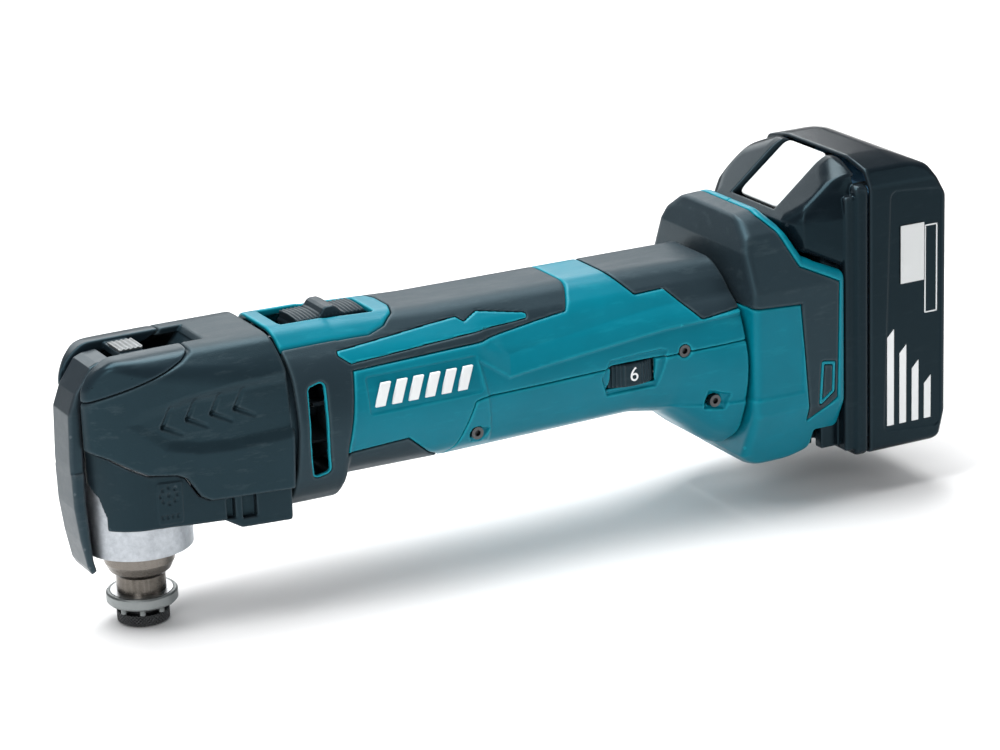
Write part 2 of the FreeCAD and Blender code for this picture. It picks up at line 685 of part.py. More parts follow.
slots = [radial_block("60", "1.8", "4.0", 75.0, 13.6, number * 30.0) for number in range(12)]
core_bore = rod("4.0", "60", ("75", "0", "sizes.motor_axis_z"), "X")
keep(cut(rod("16.8", "44", ("79", "0", "sizes.motor_axis_z"), "X"), core_bore, *slots), "armature_core")
keep(ring("8.6", "4.0", "10.5", ("125.2", "0", "sizes.motor_axis_z"), "X"), "commutator")

keep(ring("sizes.yoke_radius", "sizes.yoke_radius - 2.4", "56", ("72", "0", "sizes.motor_axis_z"), "X"),
     "motor_yoke")


def magnet(start_angle):
    """An arc of ceramic magnet inside the yoke."""
    tile = doc.addObject("Part::Cylinder", "magnet")
    tile.setExpression("Radius", "sizes.yoke_radius - 2.45")
    tile.Height = 46
    tile.Angle = 128
    settle(tile, ("78", "0", "sizes.motor_axis_z"), "X")
    tile_turn = Rotation(Vector(1, 0, 0), start_angle).multiply(TURN_TO["X"])
    tile.Placement = Placement(Vector(78, 0, axis_z), tile_turn)
    return cut(tile, rod("17.7", "60", ("70", "0", "sizes.motor_axis_z"), "X"))


keep(group(magnet(26.0), magnet(206.0)), "field_magnets")

bell_body = rod("sizes.yoke_radius", "17.6", ("128.1", "0", "sizes.motor_axis_z"), "X")
bell_room = rod("19.6", "14.2", ("127", "0", "sizes.motor_axis_z"), "X")
bell_seat = rod("8.0", "8", ("139.2", "0", "sizes.motor_axis_z"), "X")
keep(cut(bell_body, bell_room, bell_seat), "motor_end_bell")
keep(ring("8.0", "3.0 + sizes.running_clearance", "5.6", ("139.8", "0", "sizes.motor_axis_z"), "X"),
     "motor_rear_bearing")
plate = rod("23.5", "8.0", ("48.2", "0", "sizes.motor_axis_z"), "X")
plate_seat = rod("11.0", "10", ("47", "0", "sizes.motor_axis_z"), "X")
keep(cut(plate, plate_seat), "bearing_plate")
keep(ring("11.0", "5.0 + sizes.running_clearance", "7.4", ("48.4", "0", "sizes.motor_axis_z"), "X"),
     "motor_front_bearing")

holders = []
brushes = []
for side_sign in (1, -1):
    holder_low = f"{side_sign} * 14.6 - 4.6"
    case = block("9.0", "9.2", "8.0", ("128.9", holder_low, "sizes.motor_axis_z - 4"))
    room = block("6.4", "12", "5.2", ("130.2", f"{side_sign} * 14.6 - 6", "sizes.motor_axis_z - 2.6"))
    holders.append(cut(case, room))
    brushes.append(block("6.2", "9.2", "5.0",
                         ("130.3", f"{side_sign} * 13.6 - 4.6", "sizes.motor_axis_z - 2.5")))
keep(group(*holders), "brush_holders")
keep(group(*brushes), "carbon_brushes")

# ------------------------------------------------------------------ controls and electronics
knob_ribs = []
for number in range(6):
    for start in (62.2, 81.0):
        knob_ribs.append(centred_block("0.7", "13.6", "0.7", (f"{start} + {number} * 1.2", "0", "94.9")))
knob_base = centred_block("27.4", "17.0", "2.4", ("61.4", "0", "89.8"))
knob_foot = centred_block("26.6", "15.2", "3.0", ("61.8", "0", "92.0"))
knob_hump = side_plate([(70.4, 94.8), (72.0, 97.0), (73.4, 97.8), (76.4, 97.8), (78.2, 96.8), (80.2, 94.8)],
                       "15.2")
keep(fused(knob_base, knob_foot, knob_hump, *knob_ribs), "slide_knob")
keep(fused(centred_block("93.4", "7", "1.6", ("64.0", "0", "88.2")),
           centred_block("3", "7", "4.2", ("154.4", "0", "84.2"))), "switch_link")
switch_case = centred_block("24", "17", "20", ("159.4", "0", "67.0"))
switch_button = centred_block("1.4", "6", "4", ("158.2", "0", "82.6"))
keep(fused(switch_case, switch_button), "switch_module")

dial_ribs = []
dial_disc = rod("sizes.dial_radius - 0.5", "sizes.dial_height",
                ("sizes.dial_centre_x", "sizes.dial_centre_y", "sizes.dial_bottom"))
for number in range(30):
    turn = f"{number} * 12"
    rib_x = f"sizes.dial_centre_x + (sizes.dial_radius - 0.7) * cos({turn})"
    rib_y = f"sizes.dial_centre_y + (sizes.dial_radius - 0.7) * sin({turn})"
    dial_ribs.append(rod("0.7", "sizes.dial_height - 1.6", (rib_x, rib_y, "sizes.dial_bottom + 0.8")))
dial_hub = rod("3.0", "1.6", ("sizes.dial_centre_x", "sizes.dial_centre_y", "sizes.dial_bottom - 1.5"))
keep(fused(dial_disc, dial_hub, *dial_ribs), "speed_dial")
keep(fused(centred_block("66", "36", "1.6", ("148", "0", "48.2")),
           centred_block("60", "26", "4.4", ("151", "0", "43.9"))), "speed_controller")

# ------------------------------------------------------------------ rear housing
rear_back = size("rear_back")
rear_half = size("rear_half_width")


def rear_block(inset):
    side = side_prism([
        (232.0 + inset, 16.0 + inset, 2.0), (241.0, 8.4 + inset, 4.0), (248.0, 7.4 + inset, 4.0),
        (262.0 - 0.5 * inset, 14.0 + inset, 5.0), (rear_back - inset, 21.0 + inset, 4.0),
        (rear_back - inset, 84.0 - inset, 2.0), (256.4 - inset, 91.2 - inset, 4.0),
        (250.4 - inset, 103.0 - inset, 5.0), (246.0 - inset, 108.6 - inset, 2.0),
        (235.6 + 0.6 * inset, 107.6 - inset, 3.0), (232.0 + inset, 96.0 - inset, 3.0),
    ])
    wide = front_prism(mirrored_corners([
        (16.0 - inset, 110.6 - inset, 10.0), (29.0 - inset, 101.0 - inset, 16.0),
        (rear_half - inset, 82.0, 16.0), (rear_half - inset, 34.0, 18.0),
        (27.0 - inset, 12.0 + 0.5 * inset, 12.0), (14.0 - inset, 6.4 + inset, 10.0),
    ]), 220.0, 290.0)
    return side.common(wide)


rear_outer = rear_block(0.0)
battery_bay = cuboid((261.2, -31.6, 13.4), (300.0, 31.6, 140.0))
rear_shell = rear_outer.cut(rear_block(wall))
bay_wall = rear_outer.common(cuboid((258.4, -34.0, 10.0), (rear_back + 1, 34.0, 87.6)))
front_opening = bar(28.0, 225.0, 240.0, 58.0)
cable_way = cuboid((255.0, -7.0, 30.0), (262.0, 7.0, 60.0))
rear_shell = rear_shell.fuse(bay_wall).cut(battery_bay).cut(front_opening).cut(cable_way)
terminal_seat = cuboid((255.0, -26.4, 24.4), (262.0, 26.4, 86.6))
rear_shell = rear_shell.cut(terminal_seat)
rear_skin = rear_outer.cut(rear_block(skin))
rear_skin_zone_full = side_prism([
    (225.0, 76.4, 0), (252.8, 74.6, 0.8), (256.5, 28.1, 0.6), (268.4, 36.0, 3.0), (269.6, 81.2, 2.0),
    (253.6, 88.2, 5.0), (247.4, 101.4, 6.0), (243.4, 106.6, 1.0), (243.4, 125.0, 0), (225.0, 125.0, 0),
])
badge_zone = slot_pair([(261.5, 51.6, 0.8), (268.2, 50.4, 0.8), (267.8, 37.3, 1.0), (259.7, 31.9, 0.8)],
                       20.0, 60.0)
rear_skins = rear_skin.common(rear_skin_zone_full).cut(battery_bay).cut(bay_wall.cut(rear_skin))
rear_skins = rear_skins.cut(cuboid((257.4, -6.4, 85.0), (263.0, 6.4, 120.0)))
badge_shape = rear_skins.common(badge_zone)
rear_skins = rear_skins.cut(badge_zone)
latch_notch = cuboid((257.4, -6.4, 88.4), (263.0, 6.4, 120.0))
rear_shell = rear_shell.cut(rear_skin.common(rear_skin_zone_full)).cut(latch_notch)
left_side = cuboid((200.0, 0.05, -20.0), (300.0, 80.0, 160.0))
right_side = cuboid((200.0, -80.0, -20.0), (300.0, -0.05, 160.0))
shape_part(clean(rear_shell.common(right_side)), "rear_housing_right")
shape_part(clean(rear_shell.common(left_side)), "rear_housing_left")
shape_part(clean(rear_skins), "rear_housing_skin")
shape_part(clean(badge_shape, 1.0), "side_badges")

terminal_plate = block("3.4", "52.4", "61.8", ("255.4", "-26.2", "24.6"))
rails = []
for side_sign in (1, -1):
    rails.append(block("8.0", "1.6", "58", ("258.6", f"{side_sign} * 24.8 - 0.8", "26.4")))
    rails.append(block("2.4", "4.2", "58", ("266.2", f"{side_sign} * 23.5 - 2.1", "26.4")))
keep(fused(terminal_plate, *rails), "terminal_block")
blades_out = []
for side_sign in (1, -1):
    blades_out.append(block("5.0", "1.0", "16", ("258.85", f"{side_sign} * 13 - 0.5", "50")))
keep(group(*blades_out), "contact_blades")

# ------------------------------------------------------------------ battery
battery_low = size("battery_bottom")
battery_high = size("battery_top")
battery_half = size("battery_half_width")
seam_x = size("battery_seam_x")
battery_back = size("battery_back")


def pack_outline(inset):
    return mirrored_corners([
        (20.0 - 0.4 * inset, battery_high - inset, 14.0),
        (33.5 - 0.8 * inset, battery_high - 3.6 - inset, 6.0),
        (battery_half - inset, battery_high - 10.0 - inset, 5.0),
        (battery_half - inset, battery_low + inset, 8.0),
    ])


lower_case = front_prism(pack_outline(0.0), seam_x, battery_back)
lower_side_form = side_prism([
    (seam_x, battery_low, 0), (battery_back - 3.0, battery_low, 6.0), (battery_back, battery_low + 12.0, 10.0),
    (battery_back, battery_high - 17.0, 10.0), (battery_back - 6.5, battery_high - 5.4, 6.0),
    (298.0, battery_high, 20.0),
    (seam_x, battery_high, 0),
])
lower_plan_form = plan_prism(plan_mirrored([(battery_back, battery_half, 2.6), (seam_x - 1.0, battery_half, 0)]),
                             0.0, 140.0)
lower_case = lower_case.common(lower_side_form).common(lower_plan_form)
case_room = cuboid((seam_x - 1.0, -battery_half + 2.2, battery_low + 2.2),
                   (battery_back - 2.4, battery_half - 2.2, battery_high - 2.4))
case_room_round = front_prism(pack_outline(2.2), seam_x - 1.0, battery_back - 2.4).common(case_room)
shape_part(clean(lower_case.cut(case_room_round.common(
    lower_side_form.translated(Vector(-2.2, 0, 0)).common(
        lower_plan_form.translated(Vector(-2.2, 0, 0)))))), "battery_lower_case")

# the front case: a shallow frame on the seam, a narrow rail bed, and the crown that holds the button
frame_side = side_prism([
    (273.0, battery_low + 3.5, 2.0), (277.0, battery_low + 1.5, 2.0), (seam_x - 0.05, battery_low + 1.5, 0),
    (seam_x - 0.05, battery_high, 0),
    (276.0, battery_high, 2.0), (273.0, 86.0, 0),
])
frame_form = front_prism(pack_outline(0.6), 270.0, seam_x).common(frame_side)
bed = cuboid((265.2, -30.8, battery_low + 4.4), (278.0, 30.8, 92.0))
crown_side = side_prism([
    (273.2, 84.8, 1.0), (257.2, 92.2, 4.0), (251.6, 103.6, 0.6),
    (277.4, battery_high, 5.0), (280.0, battery_high, 0), (280.0, 82.0, 0),
])
crown_front = front_prism(mirrored_corners([
    (19.0, battery_high + 0.4, 10.0), (31.0, 119.0, 10.0), (35.8, 104.0, 10.0), (36.6, 80.0, 0),
]), 240.0, 280.0)
crown_corners = [(250.4, 24.0, 4.0), (258.0, 30.5, 8.0), (279.0, 36.6, 0)]
crown_plan = plan_prism(plan_mirrored(crown_corners), 60.0, 140.0)
crown = crown_side.common(crown_front).common(crown_plan)
upper_case = frame_form.fuse(bed).fuse(crown)
upper_room = front_prism(pack_outline(3.0), 278.6, seam_x + 1.0)
upper_case = upper_case.cut(upper_room)
bed_channel = cuboid((255.0, -26.4, 0.0), (269.4, 26.4, 86.8))
bed_core = cuboid((264.2, -18.8, battery_low + 4.4), (269.6, 18.8, 86.8))
bed_lips = cuboid((264.2, -23.4, battery_low + 4.4), (265.8, 23.4, 86.8))
blade_room = slot_pair([(255.0, 0.0, 0), (267.4, 0.0, 0), (267.4, 75.0, 0), (255.0, 75.0, 0)], 11.6, 14.4)
board_room = cuboid((271.8, -28.0, 17.0), (279.0, 28.0, 88.0)).fuse(
    cuboid((274.0, -22.0, 80.0), (279.0, 22.0, 106.0)))
upper_case = upper_case.cut(bed_channel).fuse(bed_core).fuse(bed_lips).cut(blade_room).cut(board_room)
button_pocket = side_prism([
    (254.6, 107.0, 0), (257.4, 102.4, 0), (260.2, 101.6, 0), (282.4, 119.4, 0), (282.4, 135.0, 0),
    (254.6, 135.0, 0),
], 14.6)
latch_slot = cuboid((258.6, -6.2, 80.0), (264.6, 6.2, 112.0))
spring_pocket = cylinder(4.8, 100.0, 130.0, (268.6, 0.0))
upper_case = upper_case.cut(button_pocket).cut(latch_slot).cut(spring_pocket)
shape_part(clean(upper_case), "battery_upper_case")

shape_part(clean(side_prism([
    (257.0, 105.6, 0.6), (259.0, 103.8, 0.4), (280.0, 120.8, 0.4), (280.0, 123.8, 0.6),
], 14.2)), "release_button")
latch_corners = [(259.4, 91.2, 0.5), (262.4, 91.2, 0.5), (262.4, 106.4, 0), (259.4, 103.9, 0)]
shape_part(clean(side_prism(latch_corners, 5.6)),
           "battery_latch")
keep(ring("2.6", "1.9", "6.4", ("268.6", "0", "102.6"), "Z"), "button_spring")

CELL_ROWS = (287.6, 306.0)
CELL_HEIGHTS = [24.4 + number * 19.6 for number in range(5)]


def cell_rods(radius, length):
    """One rod for every cell position, centred across the pack."""
    return [rod(radius, length, (row, f"-({length}) / 2", height), "Y")
            for row in CELL_ROWS for height in CELL_HEIGHTS]


keep(group(*cell_rods("sizes.cell_radius", "sizes.cell_length")), "battery_cells")
holder_plates = [block("32.0", "4", "96", ("279.4", str(low), "16")) for low in (20.0, -24.0)]
keep(cut(fused(*holder_plates), *cell_rods("sizes.cell_radius + 0.05", "90")), "cell_holder")
keep(centred_block("1.6", "50", "68", ("275.4", "0", "18")), "battery_board")
keep(block("10.4", "0.3", "22.4", ("296.4", "-sizes.battery_half_width - 0.3", "75.4")), "battery_label")

# ------------------------------------------------------------------ job light and fasteners
keep(cut(centred_block("9.4", "13.4", "4.0", ("31.3", "0", "29.6")),
         centred_block("6", "9", "3", ("33.0", "0", "31.8"))), "light_lens")

# X, Z, distance of the head's face from mid-plane, shank length
GRIP_SCREWS = [(205.5, 63.9, 31.6, 11.0), (121.4, 47.2, 27.4, 6.6), (218.6, 42.0, 31.0, 10.0)]


def screws_at(places, side_signs):
    """Pan head screws driven in from the sides, heads outward."""
    made = []
    for x, z, face, length in places:
        for side_sign in side_signs:
            inward = Vector(0, -side_sign, 0)
            start = Vector(x, side_sign * face, z)
            shank = Part.makeCylinder(size("screw_radius"), length, start, inward)
            head = Part.makeCylinder(size("screw_head_radius"), HEAD_HEIGHT, start, inward)
            socket = Part.makeCylinder(1.1, 1.3, start - inward * 0.1, inward)
            made.append(head.fuse(shank).cut(socket))
    return Part.makeCompound(made)


shape_part(screws_at(GRIP_SCREWS, (1, -1)), "case_screws")

doc.recompute()

broken = []
for obj in doc.Objects:
    states = set(obj.State)
    if "Invalid" in states or "Error" in states:
        broken.append(f"{obj.Label}: {sorted(states)}")
for part in SUBPARTS:
    if part.Shape.isNull() or not part.Shape.isValid() or not part.Shape.Solids:
        broken.append(f"{part.Label}: shape is not a valid solid")
for message in broken:
    print("BROKEN", message)
if broken:
    raise SystemExit(1)

os.makedirs("parts", exist_ok=True)
for part in SUBPARTS:
    part.Shape.exportStep(f"parts/{part.Label}.step")
    box = part.Shape.BoundBox
    print(f"{part.Label:24s} solids {len(part.Shape.Solids):2d}  volume {part.Shape.Volume:10.1f}  "
          f"X {box.XMin:7.1f} {box.XMax:7.1f}  Y {box.YMin:6.1f} {box.YMax:6.1f}",
          f"Z {box.ZMin:6.1f} {box.ZMax:6.1f}")
print(len(SUBPARTS), "sub-parts")
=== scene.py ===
"""Cordless oscillating multi-tool: the visible shells, their finishes, the light and the camera.

Distances in the shape functions are in millimetres in the part's own frame; objects are in metres.
"""
import json
import math
from functools import reduce

import bmesh
import bpy
import numpy as np
from mathutils import Matrix, Vector


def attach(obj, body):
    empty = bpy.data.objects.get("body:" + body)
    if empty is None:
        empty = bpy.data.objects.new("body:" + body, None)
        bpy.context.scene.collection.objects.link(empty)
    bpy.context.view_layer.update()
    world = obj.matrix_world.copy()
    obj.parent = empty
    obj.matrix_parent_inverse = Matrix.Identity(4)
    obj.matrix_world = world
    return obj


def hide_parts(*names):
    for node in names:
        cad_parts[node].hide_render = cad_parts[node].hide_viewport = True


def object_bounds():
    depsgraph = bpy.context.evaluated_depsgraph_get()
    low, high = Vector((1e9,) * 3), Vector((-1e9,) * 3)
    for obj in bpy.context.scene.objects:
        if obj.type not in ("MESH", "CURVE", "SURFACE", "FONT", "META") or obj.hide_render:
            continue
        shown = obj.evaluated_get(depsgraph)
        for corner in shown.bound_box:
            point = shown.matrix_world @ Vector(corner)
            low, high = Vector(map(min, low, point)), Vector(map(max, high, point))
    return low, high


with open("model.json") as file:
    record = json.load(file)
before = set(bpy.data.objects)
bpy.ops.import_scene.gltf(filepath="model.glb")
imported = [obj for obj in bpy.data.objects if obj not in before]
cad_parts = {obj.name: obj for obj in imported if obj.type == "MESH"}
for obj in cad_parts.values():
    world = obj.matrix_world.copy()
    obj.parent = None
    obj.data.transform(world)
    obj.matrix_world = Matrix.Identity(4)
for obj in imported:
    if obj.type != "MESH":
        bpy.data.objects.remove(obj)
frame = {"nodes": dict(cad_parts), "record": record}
cad_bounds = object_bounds()

NODES = frame["nodes"]
MM = 0.001
WALL = 2.5
GAP = 0.14
SCENE = bpy.context.scene


# ------------------------------------------------------------------ distance fields
class Grid:
    """Sample points on a regular lattice, as three broadcastable coordinate arrays."""

    def __init__(self, low, high, step):
        self.low = np.array(low, dtype=np.float64)
        self.step = step
        counts = [int(math.ceil((b - a) / step)) + 1 for a, b in zip(low, high)]
        axes = [low[i] + step * np.arange(counts[i]) for i in range(3)]
        self.x = axes[0].astype(np.float32)[:, None, None]
        self.y = axes[1].astype(np.float32)[None, :, None]
        self.z = axes[2].astype(np.float32)[None, None, :]
        self.shape = tuple(counts)

    def full(self, field):
        return np.broadcast_to(field, self.shape).astype(np.float32)


def blend_max(*fields, soft=0.5):
    """Intersection with rounded edges."""
    total = fields[0]
    for other in fields[1:]:
        reach = np.maximum(soft - np.abs(total - other), 0.0) / soft
        total = np.maximum(total, other) + reach * reach * soft * 0.25
    return total


def blend_min(*fields, soft=0.5):
    """Union with filleted joints."""
    return -blend_max(*[-f for f in fields], soft=soft)


def carved(field, *cutters, soft):
    """The field with every cutter taken out of it, the new edges rounded."""
    for cutter in cutters:
        field = blend_max(field, -cutter, soft=soft)
    return field


def layer(outer, near, far):
    """What lies between two depths under a surface."""
    return np.maximum(outer + near, -(outer + far))


def meet(*fields):
    """Intersection with sharp edges."""
    return reduce(np.maximum, fields)


def join(*fields):
    """Union with sharp corners."""
    return reduce(np.minimum, fields)


def polygon(points, u, v):
    """Signed distance to a closed outline: negative inside."""
    nearest = None
    inside = None
    count = len(points)
    for i in range(count):
        ax, ay = points[i]
        bx, by = points[(i + 1) % count]
        ex, ey = bx - ax, by - ay
        wx, wy = u - ax, v - ay
        along = np.clip((wx * ex + wy * ey) / (ex * ex + ey * ey), 0.0, 1.0)
        dx, dy = wx - ex * along, wy - ey * along
        square = dx * dx + dy * dy
        nearest = square if nearest is None else np.minimum(nearest, square)
        if ay != by:
            crossing = ((v >= ay) != (v >= by)) & (u < ax + (v - ay) * ex / ey)
            inside = crossing if inside is None else inside ^ crossing
    return np.where(inside, -1.0, 1.0) * np.sqrt(nearest)


def soften(points, u, v, radius):
    """Distance to an outline; its corners are rounded by drawing it in and letting it out again."""
    if not radius:
        return polygon(points, u, v)
    return polygon(offset_outline(points, radius), u, v) - radius


def offset_outline(points, inset):
    """The outline moved inwards by inset along each edge."""
    count = len(points)
    area = sum(points[i - 1][0] * points[i][1] - points[i][0] * points[i - 1][1] for i in range(count))
    turn = 1.0 if area > 0 else -1.0
    moved = []
    for i in range(count):
        ax, ay = points[i - 1]
        bx, by = points[i]
        cx, cy = points[(i + 1) % count]
        first = math.hypot(bx - ax, by - ay)
        second = math.hypot(cx - bx, cy - by)
        n1 = (-(by - ay) / first * turn, (bx - ax) / first * turn)
        n2 = (-(cy - by) / second * turn, (cx - bx) / second * turn)
        mid = (n1[0] + n2[0], n1[1] + n2[1])
        scale = inset * 2.0 / max(mid[0] ** 2 + mid[1] ** 2, 0.4)
        moved.append((bx + mid[0] * scale, by + mid[1] * scale))
    return moved


def half_planes(corners, u, v, soft):
    """Inside of the convex outline that runs down one side through corners, with soft edges."""
    total = None
    for (au, av), (bu, bv) in zip(corners, corners[1:]):
        eu, ev = bu - au, bv - av
        distance = ((u - au) * -ev + (v - av) * eu) / (eu * eu + ev * ev) ** 0.5
        total = distance if total is None else blend_max(total, distance, soft=soft)
    return total


def cuboid(grid, low, high, soft=0.6):
    return blend_max(low[0] - grid.x, grid.x - high[0], low[1] - grid.y, grid.y - high[1],
                     low[2] - grid.z, grid.z - high[2], soft=soft)


def side(g, points, radius=0.0):
    """Distance to an outline in X and Z, the same at every Y."""
    shape = soften(points, g.x[:, :, 0], g.z[:, 0, :], radius)
    return shape[:, None, :].astype(np.float32)


def plan(g, points, radius=0.0):
    """Distance to an outline in X and Y, the same at every Z."""
    shape = soften(points, g.x[:, :, 0], g.y[0, :, :].reshape(1, -1), radius)
    return shape[:, :, None].astype(np.float32)


def section(g, points, radius=0.0):
    """Distance to an outline in |Y| and Z, mirrored about mid-plane, the same at every X."""
    shape = soften(points, np.abs(g.y[0, :, :]), g.z[0, :, :], radius)
    return shape[None, :, :].astype(np.float32)


def mirrored(points):
    return points + [(u, -v) for u, v in reversed(points)]


def smooth_step(value, start, end):
    t = np.clip((value - start) / (end - start), 0.0, 1.0)
    return t * t * (3.0 - 2.0 * t)


# ------------------------------------------------------------------ from fields to meshes
CORNERS = [(i, j, k) for i in (0, 1) for j in (0, 1) for k in (0, 1)]
CELL_EDGES = [(a, b) for a in range(8) for b in range(a + 1, 8)
              if sum(abs(CORNERS[a][n] - CORNERS[b][n]) for n in range(3)) == 1]


def sample(field, grid, points):
    """Values of the field between its samples, for points in lattice units."""
    base = np.clip(np.floor(points).astype(np.int64), 0, np.array(grid.shape) - 2)
    part = points - base
    value = np.zeros(len(points))
    for i, j, k in CORNERS:
        weight = (part[:, 0] if i else 1 - part[:, 0]) * (part[:, 1] if j else 1 - part[:, 1])
        weight = weight * (part[:, 2] if k else 1 - part[:, 2])
        value += weight * field[base[:, 0] + i, base[:, 1] + j, base[:, 2] + k]
    return value


def surface(name, grid, field):
    """A closed mesh where the field is zero, with normals from the field itself."""
    field = grid.full(field).copy()
    for axis in range(3):
        edge = [slice(None)] * 3
        for end in (0, -1):
            edge[axis] = end
            field[tuple(edge)] = np.maximum(field[tuple(edge)], 0.3 * grid.step)
    inside = field < 0
    cells = tuple(n - 1 for n in grid.shape)
    total = np.zeros(cells, dtype=np.uint8)
    for i, j, k in CORNERS:
        total += inside[i:i + cells[0], j:j + cells[1], k:k + cells[2]]
    active = (total > 0) & (total < 8)
    where = np.argwhere(active)
    index = np.full(cells, -1, dtype=np.int64)
    index[active] = np.arange(len(where))
    values = np.stack([field[where[:, 0] + i, where[:, 1] + j, where[:, 2] + k] for i, j, k in CORNERS], 1)
    position = np.zeros((len(where), 3))
    hits = np.zeros(len(where))
    for a, b in CELL_EDGES:
        fa, fb = values[:, a], values[:, b]
        cross = (fa < 0) != (fb < 0)
        t = np.where(cross, fa / np.where(cross, fa - fb, 1.0), 0.0)
        pa, pb = np.array(CORNERS[a], float), np.array(CORNERS[b], float)
        position += np.where(cross, 1.0, 0.0)[:, None] * (pa + (pb - pa) * t[:, None])
        hits += cross
    points = where + position / hits[:, None]
    slope = np.zeros_like(points)
    for _ in range(2):
        for axis in range(3):
            step = np.zeros(3)
            step[axis] = 0.5
            slope[:, axis] = sample(field, grid, points + step) - sample(field, grid, points - step)
        size = np.maximum((slope ** 2).sum(1), 1e-8)
        move = np.clip(sample(field, grid, points) / size, -0.4, 0.4)
        points = points - slope * move[:, None]
    quads = []
    for axis in range(3):
        b, c = [n for n in range(3) if n != axis]
        ahead = [slice(None)] * 3
        here = [slice(None)] * 3
        ahead[axis] = slice(1, None)
        here[axis] = slice(None, -1)
        flips = inside[tuple(here)] != inside[tuple(ahead)]
        spots = np.argwhere(flips)
        spots = spots[(spots[:, b] > 0) & (spots[:, c] > 0)]
        spots = spots[(spots[:, b] < grid.shape[b] - 1) & (spots[:, c] < grid.shape[c] - 1)]
        ring = []
        for db, dc in ((0, 0), (-1, 0), (-1, -1), (0, -1)):
            cell = spots.copy()
            cell[:, b] += db
            cell[:, c] += dc
            ring.append(index[cell[:, 0], cell[:, 1], cell[:, 2]])
        quad = np.stack(ring, 1)
        outward = inside[spots[:, 0], spots[:, 1], spots[:, 2]]
        if axis == 1:
            outward = ~outward
        quad[~outward] = quad[~outward][:, ::-1]
        quads.append(quad)
    quads = np.concatenate(quads)
    points = (grid.low + points * grid.step) * MM
    mesh = bpy.data.meshes.new(name)
    mesh.vertices.add(len(points))
    mesh.vertices.foreach_set("co", points.ravel())
    mesh.loops.add(quads.size)
    mesh.loops.foreach_set("vertex_index", quads.ravel())
    mesh.polygons.add(len(quads))
    mesh.polygons.foreach_set("loop_start", np.arange(0, quads.size, 4))
    mesh.update(calc_edges=True)
    mesh.polygons.foreach_set("use_smooth", np.ones(len(quads), dtype=bool))
    normal = slope / np.maximum(np.linalg.norm(slope, axis=1), 1e-9)[:, None]
    mesh.normals_split_custom_set_from_vertices(normal)
    print(name, len(quads), "faces")
    return placed(name, mesh)


def placed(name, mesh):
    obj = bpy.data.objects.new(name, mesh)
    SCENE.collection.objects.link(obj)
    return obj


def turned(name, profile, segments=128, bevel=0.25):
    """A lathe-turned piece about the Z axis: profile of (radius, height) points in millimetres."""
    mesh = bpy.data.meshes.new(name)
    work = bmesh.new()
    rings = []
    for radius, height in profile:
        ring = []
        for number in range(segments):
            turn = 2 * math.pi * number / segments
            ring.append(work.verts.new((radius * math.cos(turn), radius * math.sin(turn), height)))
        rings.append(ring)
    for lower, upper in zip(rings, rings[1:] + rings[:1]):
        for number in range(segments):
            following = (number + 1) % segments
            work.faces.new((lower[number], lower[following], upper[following], upper[number]))
    bmesh.ops.remove_doubles(work, verts=work.verts, dist=1e-5)
    bmesh.ops.dissolve_degenerate(work, edges=work.edges, dist=1e-5)
    bmesh.ops.recalc_face_normals(work, faces=work.faces)
    work.to_mesh(mesh)
    work.free()
    mesh.transform(Matrix.Scale(MM, 4))
    obj = placed(name, mesh)
    edge_bevel(obj, bevel)
    return obj


def edge_bevel(obj, width, angle=28.0, segments=3):
    """Rounds an object's sharp edges and shades it smoothly."""
    for face in obj.data.polygons:
        face.use_smooth = True
    if width > 0:
        cutter = obj.modifiers.new("edges", "BEVEL")
        cutter.width = width * MM
        cutter.segments = segments
        cutter.limit_method = "ANGLE"
        cutter.angle_limit = math.radians(angle)
        cutter.harden_normals = True
    keep = obj.modifiers.new("normals", "WEIGHTED_NORMAL")
    keep.keep_sharp = True
    return obj


# ------------------------------------------------------------------ finishes
def material(name):
    made = bpy.data.materials.new(name)
    made.use_nodes = True
    return made


